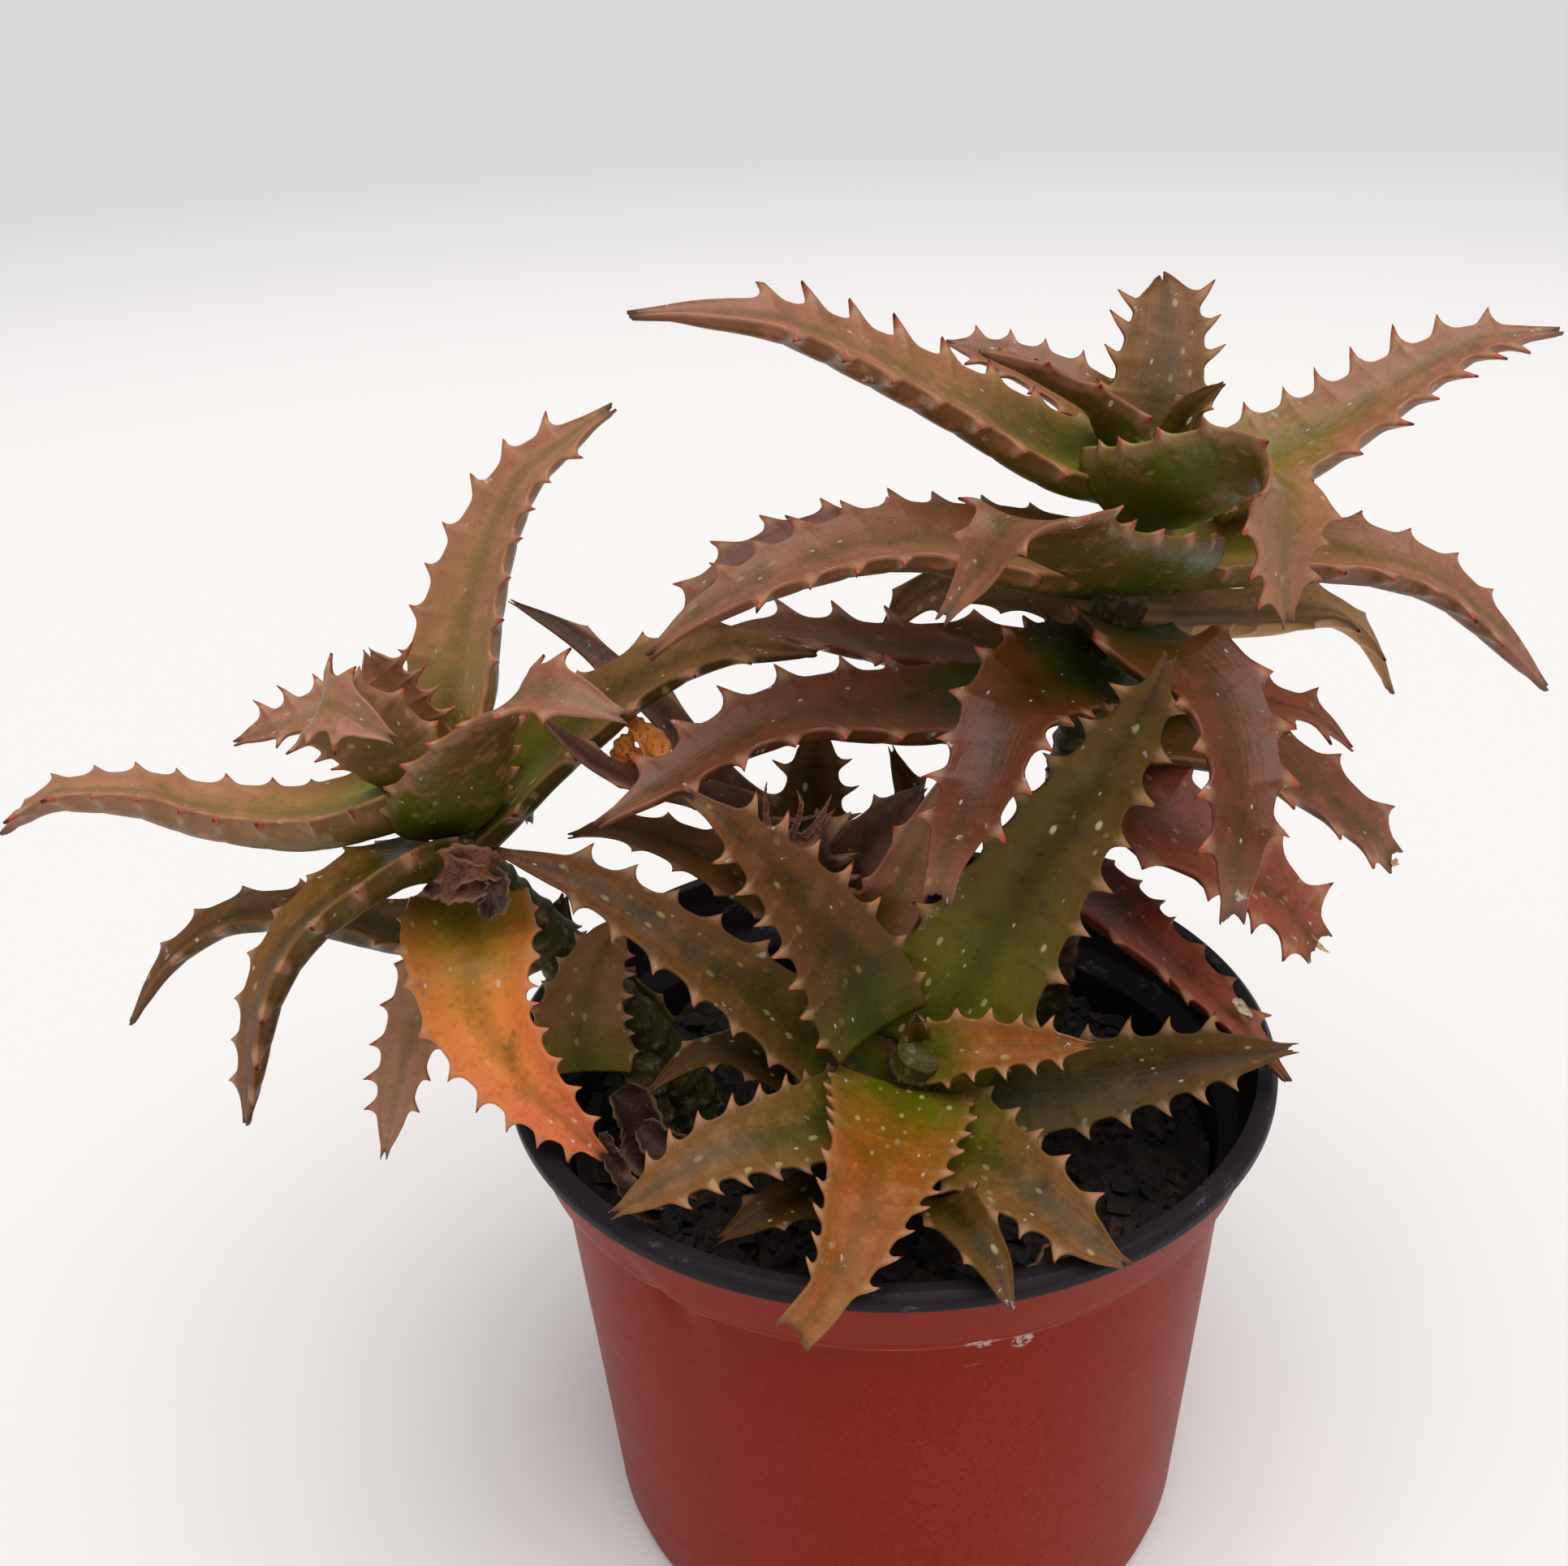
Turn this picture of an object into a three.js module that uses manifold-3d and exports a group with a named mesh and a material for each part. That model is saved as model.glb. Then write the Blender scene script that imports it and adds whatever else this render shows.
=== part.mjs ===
// A small spiny aloe with three leaf rosettes, growing in a round two-tone nursery pot.
// Millimetres, +Z up. The origin is the middle of the pot's base, on the surface that it stands on.
// The view that the plant was measured in looks along +Y, with +X to the right.
import * as THREE from "three";
import { mergeVertices } from "three/addons/utils/BufferGeometryUtils.js";
import Module from "manifold-3d";

const wasm = await Module();
wasm.setup();

// Gap kept between pieces that touch on the real plant, and the finest detail that a cut leaves.
const GAP = 0.35;
const FINEST = 0.08;
const LEAST_OVERLAP = 0.002;

// Pot: a thin tapered shell with a wider collar and a rolled lip.
const RIM_RADIUS = 60;
const POT_HEIGHT = 88;
const POT_SIDES = 32;
const WALL = 1.5;
const BASE_RADIUS = 48;
const FOOT_HEIGHT = 3;
const FOOT_INSET = 1.4;
const STEP_HEIGHT = 73.5;
const STEP_RADIUS = 53.5;
const COLLAR_RADIUS = 56.5;
const LIP_HEIGHT = 3;
const LIP_WIDTH = 3;
const DRAIN_HOLES = 6;
const DRAIN_RADIUS = 4;
const DRAIN_CIRCLE = 33;

// Soil: fills the pot to under the collar step, mounded towards the plant.
const SOIL_LEVEL = 68;
const SOIL_SIDES = 28;
const SOIL_RINGS = 5;
const SOIL_LUMP = 1.3;
const SOIL_MOUND = 2;

// Stems: each a list of [x, y, z] along its middle, with a radius at the foot and at the top.
const STEMS = [
  {
    name: "crown_stem",
    route: [[22, 14, 60], [27, 13, 95], [30, 12, 125], [34, 12, 145], [38, 16, 158], [41, 19, 169]],
    foot: 5.5,
    top: 3.6,
    shoots: ["crown_shoot"],
  },
  {
    name: "left_stem",
    route: [[-28, 6, 60], [-38, 6, 82], [-52, 4, 104], [-61, 1, 119], [-66, 1, 136]],
    foot: 5.2,
    top: 3.6,
  },
  {
    name: "front_stem",
    route: [[2, -18, 60], [2, -21, 80], [2, -24, 96], [3, -26, 102]],
    foot: 5,
    top: 3.4,
    shoots: ["front_bud", "pot_shoot"],
  },
  {
    name: "back_stem",
    route: [[-8, 12, 60], [-8, 12, 84], [-9, 11, 102], [-9, 10, 113]],
    foot: 4,
    top: 3,
  },
  {
    name: "side_stem",
    route: [[-36, -6, 60], [-38, -5, 70], [-39, -4, 79], [-39, -3, 86]],
    foot: 6,
    top: 3,
  },
];
const STEM_SIDES = 9;
const STEM_STEPS = 7;

// Young leaves that have not opened away from their stem, and are one piece with it.
const SHOOTS = [
  {
    name: "crown_shoot", half: 3.5, thick: 3, taper: 0.6, teeth: 3, tooth: 1.6,
    spine: [[41, 19, 166], [43, 20, 174], [46, 20, 180], [51, 20, 184]],
    faces: [[-0.7, -0.5, 0.4]],
  },
  {
    name: "front_bud", half: 1.9, thick: 3, taper: 0.5, teeth: 1, tooth: 0.2,
    spine: [[3, -24, 100], [2.6, -25, 104], [2.4, -25.4, 108]],
    faces: [[0, -0.9, 0.4]],
  },
  {
    name: "pot_shoot", half: 4, thick: 3, taper: 0.6, teeth: 5, tooth: 1.6,
    spine: [[2, -20, 80], [-12, -17, 90], [-24, -15, 96], [-31, -16, 95], [-37, -18, 91]],
    faces: [[0, -0.7, 0.7]],
  },
];

// Leaves, innermost first in each rosette. spine is the middle of the leaf from base to tip, half is
// half the width between the margins, thick is the depth of flesh under the margins, and taper is how
// fast the leaf narrows. faces are the directions that the upper side faces, from base to tip. end is
// the width left at a blunt or broken tip, as a share of half, and bare the share of its length near
// the tip that has no teeth.
const LEAVES = [
  {
    name: "crown_leaf_04", skin: "olive", half: 6.6, thick: 4, taper: 0.32, teeth: 5, tooth: 3.2,
    end: 0.12, bare: 0.1, hook: [0.5, 0.9],
    spine: [
      [41.2, 21, 172.8], [42.2, 24, 179.2], [43.6, 28, 185.4], [45.1, 33, 190.1], [45.6, 37, 193.4],
      [45.2, 39, 195.8],
    ],
    faces: [[0, -0.9, 0.3], [0, -0.3, 0.95]],
  },
  {
    name: "crown_leaf_03", skin: "brown", half: 5, thick: 4, taper: 0.8, teeth: 3, tooth: 3,
    spine: [
      [37.7, 18, 176.9], [33.7, 16, 183.3], [27, 14, 187.4], [20.7, 12, 190.5], [14.7, 10, 192.5],
    ],
    faces: [[0.1, 0.1, 1]],
  },
  {
    name: "crown_leaf_07", skin: "brown", half: 9.4, thick: 4, taper: 0.6, teeth: 9, tooth: 3,
    bare: 0.08, flare: [0.62, 0.55, 0.13],
    spine: [
      [34.3, 13, 171.6], [38.2, 8, 173], [42.6, 3, 175.9], [46.7, 0, 178.6], [51, -3, 179.9],
      [54.1, -6, 176.5], [53.9, -8, 170.4], [54, -8, 164.1], [55.1, -8, 157.2],
    ],
    faces: [[0.1, 0.9, 0.4], [0.1, 0.85, 0.5], [0.5, 0.3, 0.8], [0.45, -0.7, 0.55], [0.2, -0.9, 0.3]],
  },
  {
    name: "crown_leaf_01", skin: "brown", half: 7.4, thick: 7, taper: 0.72, teeth: 8, tooth: 4.8,
    bare: 0.24,
    spine: [
      [38.2, 17, 174.1], [27.5, 15, 177.6], [13.7, 12, 186], [0.9, 9, 193.2], [-11.6, 6, 199.1],
      [-22.4, 4, 201], [-32.7, 3, 201.1],
    ],
    faces: [[0, -0.32, 0.95]],
  },
  {
    name: "crown_leaf_02", skin: "brown", half: 5.5, thick: 3, taper: 0.6, teeth: 5, tooth: 3,
    bare: 0.1,
    spine: [
      [38, 26, 176.4], [31.5, 28, 181.6], [24.6, 31, 184.8], [18.3, 34, 186.6], [12.4, 36, 187.7],
    ],
    faces: [[0, -0.4, 0.9]],
  },
  {
    name: "crown_leaf_06", skin: "brown", half: 7.4, thick: 7, taper: 0.75, teeth: 8, tooth: 4.4,
    bare: 0.12,
    spine: [
      [48.6, 20, 169.7], [59, 21, 173.6], [68, 22, 177.6], [78.8, 25, 182.8], [88.2, 27, 186.7],
      [95.2, 28, 187.2], [102.3, 28, 187.5],
    ],
    faces: [[-0.2, -0.4, 0.87]],
  },
  {
    name: "crown_leaf_08", skin: "brown", half: 8.8, thick: 4, taper: 0.7, teeth: 7, tooth: 2.6,
    bare: 0.2, flare: [0.6, 0.75, 0.1],
    spine: [
      [42.5, 6, 162.4], [35.1, -1, 165.5], [25.9, -8, 170.8], [18.2, -14, 177.2], [14.1, -17, 176.5],
      [10.7, -18, 170.6], [6.4, -17, 163.7],
    ],
    faces: [[-0.3, 0.5, 0.8], [-0.4, 0.1, 0.9], [-0.1, -0.85, 0.5]],
  },
  {
    name: "crown_leaf_09", skin: "brown", half: 8, thick: 7, taper: 0.7, teeth: 8, tooth: 3.6,
    bare: 0.2,
    spine: [
      [31.3, 12, 162.6], [13.6, 6, 167.6], [6.8, 3, 169.7], [0.1, 1, 170.1], [-6.8, -1, 169.3],
      [-16.5, -4, 166.7], [-26.1, -6, 162], [-32.8, -8, 157],
    ],
    faces: [[0, -0.3, 0.95]],
  },
  {
    name: "crown_leaf_11", skin: "brown", half: 7.5, thick: 7, taper: 0.65, teeth: 7, tooth: 3,
    bare: 0.2,
    spine: [
      [44.3, 17, 161.1], [58.2, 15, 162], [68.5, 14, 161.1], [76.6, 13, 159.1], [84.6, 12, 155.3],
      [92.5, 11, 147.9], [100.9, 10, 137.9],
    ],
    faces: [[0.1, -0.25, 0.95]],
  },
  {
    name: "crown_leaf_10", skin: "brown", half: 6.5, thick: 5, taper: 0.6, teeth: 7, tooth: 3.6,
    bare: 0.04,
    spine: [
      [31.1, 20, 157.8], [9.5, 25, 161.2], [-5.4, 22, 163.4], [-15.2, 18, 162.7], [-22.2, 15, 160.2],
      [-26.5, 13, 156.9], [-29.6, 12, 153.1],
    ],
    faces: [[0, -0.3, 0.95]],
  },
  {
    name: "crown_leaf_18", skin: "olive", half: 8, thick: 5, taper: 0.65, teeth: 5, tooth: 2.6,
    spine: [[40, 21, 157], [48, 40, 158], [53, 55, 149], [57, 64, 134]],
    faces: [[0, 0.1, 1], [0.2, 0.9, 0.4]],
  },
  {
    name: "crown_leaf_13", skin: "brown", half: 8.5, thick: 5, taper: 0.6, teeth: 7, tooth: 3.2,
    end: 0.2,
    spine: [
      [36, 10, 152], [38, -4, 155], [44, -14, 152], [46, -23, 146], [45, -29, 137], [44, -32, 125],
    ],
    faces: [[0.2, -0.5, 0.8], [0.4, -0.8, 0.5], [0.1, -1, 0.2]],
  },
  {
    name: "crown_leaf_12", skin: "green", half: 6.5, thick: 5, taper: 0.7, teeth: 5, tooth: 2.8,
    spine: [[38, 17, 151], [58, 20, 149], [70, 22, 148], [77, 22, 143], [82, 22, 133]],
    faces: [[0, 0, 1], [0.9, -0.2, 0.3]],
  },
  {
    name: "crown_leaf_14", skin: "brown", half: 9, thick: 5, taper: 0.65, teeth: 8, tooth: 3,
    end: 0.22,
    spine: [[35, 10, 146], [23, -6, 151], [16, -15, 150], [11, -22, 142], [7, -25, 134], [5, -27, 127]],
    faces: [[-0.1, -0.6, 0.8], [-0.4, -0.8, 0.4], [-0.2, -1, 0.1]],
  },
  {
    name: "crown_leaf_17", skin: "green", half: 5, thick: 3, taper: 0.6, teeth: 3, tooth: 1.5,
    spine: [[36, 16, 151], [24, 27, 152], [10, 31, 150], [1, 33, 141]],
    faces: [[0, -0.8, 0.5]],
  },
  {
    name: "crown_leaf_15", skin: "brown", half: 8, thick: 6.5, taper: 0.65, teeth: 7, tooth: 4.4,
    bare: 0.14, hook: [0.1, 0.3],
    spine: [
      [20, 12, 140.5], [4, 4, 143.3], [-9.2, 0, 145.2], [-19.7, -4, 144.1], [-29.1, -8, 139.9],
      [-35.4, -12, 137.3], [-41.1, -15, 135],
    ],
    faces: [[0, -0.25, 0.95]],
  },
  {
    name: "crown_leaf_16", skin: "brown", half: 5.5, thick: 5, taper: 0.55, teeth: 5, tooth: 4,
    spine: [[34, 15, 143], [16, 24, 143], [3, 22, 145], [-8, 20, 148], [-17, 18, 150], [-24, 17, 150]],
    faces: [[0, -0.3, 1]],
  },
  {
    name: "middle_leaf_14", skin: "red", half: 5, thick: 3, taper: 0.7, teeth: 5, tooth: 3,
    spine: [[35, 14, 141], [50, 18, 137], [61, 19, 134], [69, 19, 131], [76, 20, 124]],
    faces: [[0, -0.4, 0.9]],
  },
  {
    name: "middle_leaf_13", skin: "brown", half: 7.4, thick: 5.5, taper: 0.35, teeth: 5, tooth: 3.8,
    end: 0.4, bare: 0.03,
    spine: [[34, 13, 136], [54, 12, 131], [64, 10, 126], [73, 8, 119], [80, 6, 111]],
    faces: [[0.1, -0.3, 0.95]],
  },
  {
    name: "middle_leaf_12", skin: "red", half: 8.5, thick: 5.5, taper: 0.4, teeth: 5, tooth: 4.6,
    end: 0.4, bare: 0.03, hook: [0, 0.1],
    spine: [[31, 11, 131], [40, 0, 126], [49, -4, 121], [57, -7, 115], [64, -10, 106]],
    faces: [[0.1, -0.4, 0.9]],
  },
  {
    name: "middle_leaf_11", skin: "red", half: 7, thick: 4.5, taper: 0.7, teeth: 7, tooth: 2.8,
    spine: [[28, 11, 112], [38, -4, 108], [45, -8, 102], [52, -14, 96], [57, -23, 92]],
    faces: [[0.3, -0.2, 0.9]],
  },
  {
    name: "front_leaf_04", skin: "orange", half: 4.1, thick: 3, taper: 0.7, teeth: 5, tooth: 2.4,
    spine: [[3, -26, 101], [9, -29, 105], [18, -31, 106], [26, -33, 107]],
    faces: [[0, -0.7, 0.7]],
  },
  {
    name: "front_leaf_02", skin: "brown", half: 8.2, thick: 5, taper: 0.8, teeth: 7, tooth: 3.4,
    spine: [
      [-2.3, -25, 104.6], [-7.5, -24, 117.2], [-14.4, -22, 128.1], [-21.8, -20, 136.3],
      [-28, -18, 140.8],
    ],
    faces: [[0.2, -0.8, 0.6]],
  },
  {
    name: "front_leaf_03", skin: "green", half: 10.5, thick: 5, taper: 0.7, teeth: 9, tooth: 3.8,
    bare: 0.06, hook: [0, 0.1],
    spine: [
      [3, -22, 98], [13, -20, 115], [21, -18, 128], [29, -17, 141], [34, -17, 150], [37, -17, 158],
    ],
    faces: [[-0.2, -0.85, 0.5]],
  },
  {
    name: "front_leaf_06", skin: "orange", half: 10, thick: 4.5, taper: 0.8, teeth: 10, tooth: 2.2,
    end: 0.25, hook: [-0.5, -0.5],
    spine: [
      [0.3, -26, 97.4], [-1.1, -36, 99.4], [-2.8, -44, 100.3], [-5.3, -51, 99.8], [-9, -60, 96.3],
      [-12.4, -64, 92.5], [-17, -67, 89],
    ],
    faces: [[0, -0.75, 0.65], [-0.1, -0.95, 0.4]],
  },
  {
    name: "front_leaf_01", skin: "olive", half: 6.2, thick: 5, taper: 0.6, teeth: 8, tooth: 3,
    hook: [-0.3, -0.2],
    spine: [
      [1, -23, 90], [-8, -22, 98], [-19, -18, 107], [-32, -14, 116], [-44, -10, 123], [-58, -6, 127],
    ],
    faces: [[0, -0.6, 0.8]],
  },
  {
    name: "front_leaf_08", skin: "olive", half: 7.6, thick: 4, taper: 0.6, teeth: 6, tooth: 2.8,
    spine: [
      [0.2, -24, 93.1], [7.3, -35, 94], [12.5, -43, 94.5], [17.7, -49, 93.7], [23.2, -55, 91.1],
      [27.2, -58, 89.9],
    ],
    faces: [[0.2, -0.7, 0.7]],
  },
  {
    name: "front_leaf_07", skin: "brown", half: 6.3, thick: 4.5, taper: 0.6, teeth: 8, tooth: 2.8,
    hook: [-0.4, -0.3],
    spine: [
      [-3.4, -25, 94], [-11.8, -33, 96.3], [-19.8, -38, 97.8], [-26.4, -41, 97.8], [-34.2, -44, 94.8],
      [-40.8, -45, 91],
    ],
    faces: [[-0.1, -0.6, 0.8]],
  },
  {
    name: "front_leaf_10", skin: "green", half: 7.4, thick: 4.5, taper: 0.6, teeth: 8, tooth: 3,
    spine: [[3, -22, 85], [12, -22, 91], [23, -22, 92], [35, -22, 94], [46, -22, 96], [58, -22, 97]],
    faces: [[0, -0.75, 0.65]],
  },
  {
    name: "front_leaf_09", skin: "green", half: 5, thick: 3, taper: 0.5, teeth: 4, tooth: 1.4,
    spine: [[2, -24, 80], [3, -40, 90], [6, -52, 94], [9, -58, 93], [11, -65, 90]],
    faces: [[0.1, -0.7, 0.7]],
  },
  {
    name: "pot_leaf_21", skin: "green", half: 5, thick: 3, taper: 0.6, teeth: 4, tooth: 1.4,
    spine: [[0, -23, 76], [-12, -34, 84], [-19, -39, 86], [-27, -42, 83]],
    faces: [[0, -0.6, 0.8]],
  },
  {
    name: "back_leaf_01", skin: "green", half: 6.5, thick: 4, taper: 0.5, teeth: 6, tooth: 3,
    spine: [[-9, 12, 100], [-10, 11, 108], [-11, 12, 118], [-10, 14, 127], [-9, 16, 135]],
    faces: [[0, -0.9, 0.3]],
  },
  {
    name: "back_leaf_02", skin: "green", half: 4, thick: 3, taper: 0.6, teeth: 4, tooth: 1.8,
    spine: [[-8, 13, 98], [4, 14, 108], [5, 14, 120], [2, 16, 130]],
    faces: [[0, -0.9, 0.3]],
  },
  {
    name: "dry_leaf_16", skin: "dry", half: 4.6, thick: 2.4, taper: 0.1, teeth: 3, tooth: 4,
    end: 0.8, bare: 0.02, hook: [0.6, 1.2],
    spine: [[-10.1, 8, 111], [-12.1, 0, 120.4], [-13, -4, 126], [-12.9, -7, 131.1]],
    faces: [[0, -0.3, 0.95]],
  },
  {
    name: "middle_leaf_18", skin: "dry", half: 5, thick: 3.5, taper: 0.6, teeth: 4, tooth: 1.8,
    spine: [[-9, 9, 107], [-6, 4, 115], [-1, 2, 123], [6, 0, 131]],
    faces: [[-0.3, -0.8, 0.4]],
  },
  {
    name: "middle_leaf_17", skin: "brown", half: 6, thick: 3.5, taper: 0.6, teeth: 4, tooth: 1.6,
    spine: [[-8, 9, 101], [-1, -5, 112], [3, -6, 121], [7, -4, 129], [9, -3, 135]],
    faces: [[-0.2, -0.9, 0.3]],
  },
  {
    name: "pot_leaf_22", skin: "olive", half: 5, thick: 3.5, taper: 0.6, teeth: 5, tooth: 1.8,
    spine: [[-9, 11, 102], [-24, 8, 114], [-32, 8, 119], [-41, 8, 122], [-48, 6, 122]],
    faces: [[0, -0.5, 0.8]],
  },
  {
    name: "left_leaf_05", skin: "brown", half: 5, thick: 3.5, taper: 0.5, teeth: 5, tooth: 3.8,
    spine: [[-67, 1, 138], [-68, 0, 143], [-70, 0, 149], [-73, 1, 156]],
    faces: [[0, -0.8, 0.5]],
  },
  {
    name: "left_leaf_01", skin: "brown", half: 8.8, thick: 6, taper: 0.75, teeth: 8, tooth: 3.4,
    bare: 0.12,
    spine: [
      [-65.3, 3, 141.4], [-63.1, 4, 149.4], [-61.7, 6, 155], [-59.9, 8, 160.6], [-57.6, 10, 166.3],
      [-54.7, 12, 171.5], [-49.9, 13, 177.7], [-42.8, 14, 182.2], [-36.7, 15, 185.6],
    ],
    faces: [[-0.55, -0.6, 0.6]],
  },
  {
    name: "left_leaf_04", skin: "brown", half: 7, thick: 2.6, taper: 0.6, teeth: 6, tooth: 2.8,
    spine: [[-67, 1, 134], [-73, -5, 146], [-78, -11, 153], [-74, -16, 155], [-66, -19, 151]],
    faces: [[0.2, 0.8, 0.5], [-0.8, 0, 0.6], [0, -0.95, 0.3]],
  },
  {
    name: "left_leaf_07", skin: "brown", half: 8.8, thick: 3.5, taper: 0.65, teeth: 7, tooth: 2.8,
    spine: [[-65, -1, 130], [-60, -11, 143], [-52, -19, 156], [-45, -24, 160], [-34, -28, 157]],
    faces: [[-0.3, 0.8, 0.5], [0, 0, 1], [0.3, -0.8, 0.5]],
  },
  {
    name: "left_leaf_03", skin: "brown", half: 5, thick: 4, taper: 0.6, teeth: 6, tooth: 3.2,
    spine: [[-67, 4, 137], [-74, 8, 141], [-81, 8, 144], [-88, 7, 143], [-96, 6, 140]],
    faces: [[-0.1, -0.5, 0.85]],
  },
  {
    name: "left_leaf_02", skin: "brown", half: 7, thick: 7.5, taper: 0.6, teeth: 9, tooth: 3.4,
    bare: 0.05,
    spine: [
      [-72.7, 0, 135.7], [-79.6, -1, 134.1], [-86.7, -2, 133.5], [-98.6, -2, 135], [-106.8, -3, 138.1],
      [-115.2, -4, 139], [-121.1, -5, 138.2], [-127.8, -6, 133.1],
    ],
    faces: [[0, 0.1, 1]],
  },
  {
    name: "left_leaf_06", skin: "olive", half: 6.5, thick: 7, taper: 0.5, teeth: 5, tooth: 2.4,
    spine: [[-64, 2, 127], [-54, 4, 136], [-45, 6, 142], [-35, 8, 148], [-23, 10, 151], [-9, 12, 148]],
    faces: [[0, -0.3, 1]],
  },
  {
    name: "left_leaf_10", skin: "brown", half: 6.6, thick: 6.5, taper: 0.55, teeth: 8, tooth: 3.2,
    bare: 0.06,
    spine: [
      [-65.4, -1, 126.4], [-72.1, -10, 129.6], [-79.6, -16, 127], [-85.4, -20, 122.6],
      [-89.8, -23, 115.3], [-92.3, -25, 105.8], [-94.4, -26, 94.5],
    ],
    faces: [[-0.2, 0, 1], [-0.8, -0.3, 0.5], [-0.8, -0.6, 0.1]],
  },
  {
    name: "left_leaf_15", skin: "olive", half: 7, thick: 5, taper: 0.65, teeth: 5, tooth: 2.4,
    spine: [[-64, 4, 128], [-62, 26, 128], [-60, 38, 118], [-60, 45, 104]],
    faces: [[0, 0.1, 1], [0, 0.9, 0.4]],
  },
  {
    name: "left_leaf_14", skin: "orange", half: 9.6, thick: 4, taper: 0.72, teeth: 9, tooth: 2.4,
    bare: 0.06,
    spine: [
      [-62.7, -2, 117.3], [-61.5, -14, 113.5], [-59.7, -20, 106.2], [-52.7, -26, 98.1],
      [-42.6, -30, 88.6],
    ],
    faces: [[0.1, -0.95, 0.3]],
  },
  {
    name: "left_leaf_11", skin: "brown", half: 5.5, thick: 5.5, taper: 0.6, teeth: 7, tooth: 3,
    spine: [
      [-57, 3, 110], [-75, 6, 108], [-86, 4, 112], [-96, 2, 114], [-103, 0, 113], [-111, -2, 107],
      [-117, -4, 98],
    ],
    faces: [[-0.1, -0.1, 1], [-0.7, -0.2, 0.6]],
  },
  {
    name: "left_leaf_13", skin: "brown", half: 5.5, thick: 4, taper: 0.6, teeth: 7, tooth: 2.2,
    spine: [[-54, 3, 106], [-68, -1, 103], [-73, -2, 96], [-77, -5, 86], [-81, -7, 72]],
    faces: [[-0.1, -0.95, 0.2]],
  },
  {
    name: "left_leaf_08", skin: "dry", half: 3, thick: 2.6, taper: 0.5, teeth: 3, tooth: 1.2,
    spine: [[-9, 12, 109], [-24, 17, 124], [-34, 21, 136], [-46, 24, 147], [-56, 26, 153]],
    faces: [[0, -0.6, 0.8]],
  },
  {
    name: "left_leaf_09", skin: "dry", half: 3, thick: 2.6, taper: 0.5, teeth: 3, tooth: 1,
    spine: [[-10, 14, 112], [-24, 13, 123], [-35, 5, 131], [-42, -1, 138], [-49, -4, 147]],
    faces: [[0, -0.6, 0.8]],
  },
  {
    name: "pot_leaf_19", skin: "olive", half: 7.6, thick: 5, taper: 0.6, teeth: 6, tooth: 2,
    spine: [[-47.3, -8, 87.3], [-47.4, -7, 96.2], [-44.5, -4, 104.7], [-40.2, 0, 111]],
    faces: [[0, -0.9, 0.4]],
  },
  {
    name: "pot_leaf_23", skin: "green", half: 5.5, thick: 4, taper: 0.6, teeth: 5, tooth: 2,
    spine: [[-38, 6, 83], [-46, 10, 92], [-52, 10, 101], [-50, 9, 110]],
    faces: [[0, -0.9, 0.3]],
  },
];

// Leaf shape: share of the full width at the base, how fast it widens, and how wide and how fleshy
// the tip stays. CHANNEL is the depth of the groove and KEEL_SPREAD the width of the rounded back. A
// leaf under THIN in depth has a ridged back instead.
const BASE_WIDTH = 0.8;
const WIDENING = 1.3;
const FULLNESS = 1.12;
const TIP_SHARE = 0.16;
const TIP_FLESH = 0.22;
const CHANNEL = 0.22;
const KEEL_SPREAD = 0.64;
const THIN = 3.6;

// Teeth: where the rows start, the share of the leaf that they leave bare at its tip, where each
// tooth's feet and tip stand in its share of the margin, how far the right row is moved along, how
// far a tooth leans forward, as a share of its length, at the leaf's base and tip, and the length of
// the shortest tooth as a share of the longest, which stands near LONGEST_TOOTH along the leaf.
const FIRST_TOOTH = 0.03;
const BARE_TIP = 0.16;
const TOOTH_FEET = [0.24, 0.76];
const TOOTH_MIDDLE = 0.5;
const ROW_OFFSET = 0.4;
const HOOK = [0.1, 0.5];
const LEAST_TOOTH = 0.45;
const LONGEST_TOOTH = 0.7;
const NO_FLARE = [0.5, 0, 1];

const SKINS = {
  brown: new THREE.MeshStandardMaterial({ color: 0x7d5a49, roughness: 0.5, metalness: 0 }),
  olive: new THREE.MeshStandardMaterial({ color: 0x74653a, roughness: 0.5, metalness: 0 }),
  green: new THREE.MeshStandardMaterial({ color: 0x4b5527, roughness: 0.5, metalness: 0 }),
  orange: new THREE.MeshStandardMaterial({ color: 0xb0612f, roughness: 0.5, metalness: 0 }),
  red: new THREE.MeshStandardMaterial({ color: 0x8a4432, roughness: 0.5, metalness: 0 }),
  dry: new THREE.MeshStandardMaterial({ color: 0x5d483c, roughness: 0.8, metalness: 0 }),
  stem: new THREE.MeshStandardMaterial({ color: 0x4c4a2b, roughness: 0.7, metalness: 0 }),
  pot: new THREE.MeshStandardMaterial({ color: 0x8c2f1f, roughness: 0.45, metalness: 0 }),
  soil: new THREE.MeshStandardMaterial({ color: 0x1d1613, roughness: 1, metalness: 0 }),
};

// A closed three.js geometry as a solid that can be cut and joined.
function solidFrom(geometry) {
  const bare = new THREE.BufferGeometry();
  bare.setAttribute("position", geometry.getAttribute("position"));
  bare.setIndex(geometry.index);
  const merged = mergeVertices(bare, 1e-4);
  const mesh = new wasm.Mesh({
    numProp: 3,
    vertProperties: new Float32Array(merged.attributes.position.array),
    triVerts: new Uint32Array(merged.index.array),
  });
  return new wasm.Manifold(mesh);
}

function geometryFrom(solid) {
  const mesh = solid.getMesh();
  const geometry = new THREE.BufferGeometry();
  geometry.setAttribute("position", new THREE.BufferAttribute(mesh.vertProperties, 3));
  geometry.setIndex(new THREE.BufferAttribute(mesh.triVerts, 1));
  geometry.computeVertexNormals();
  return geometry;
}

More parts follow.
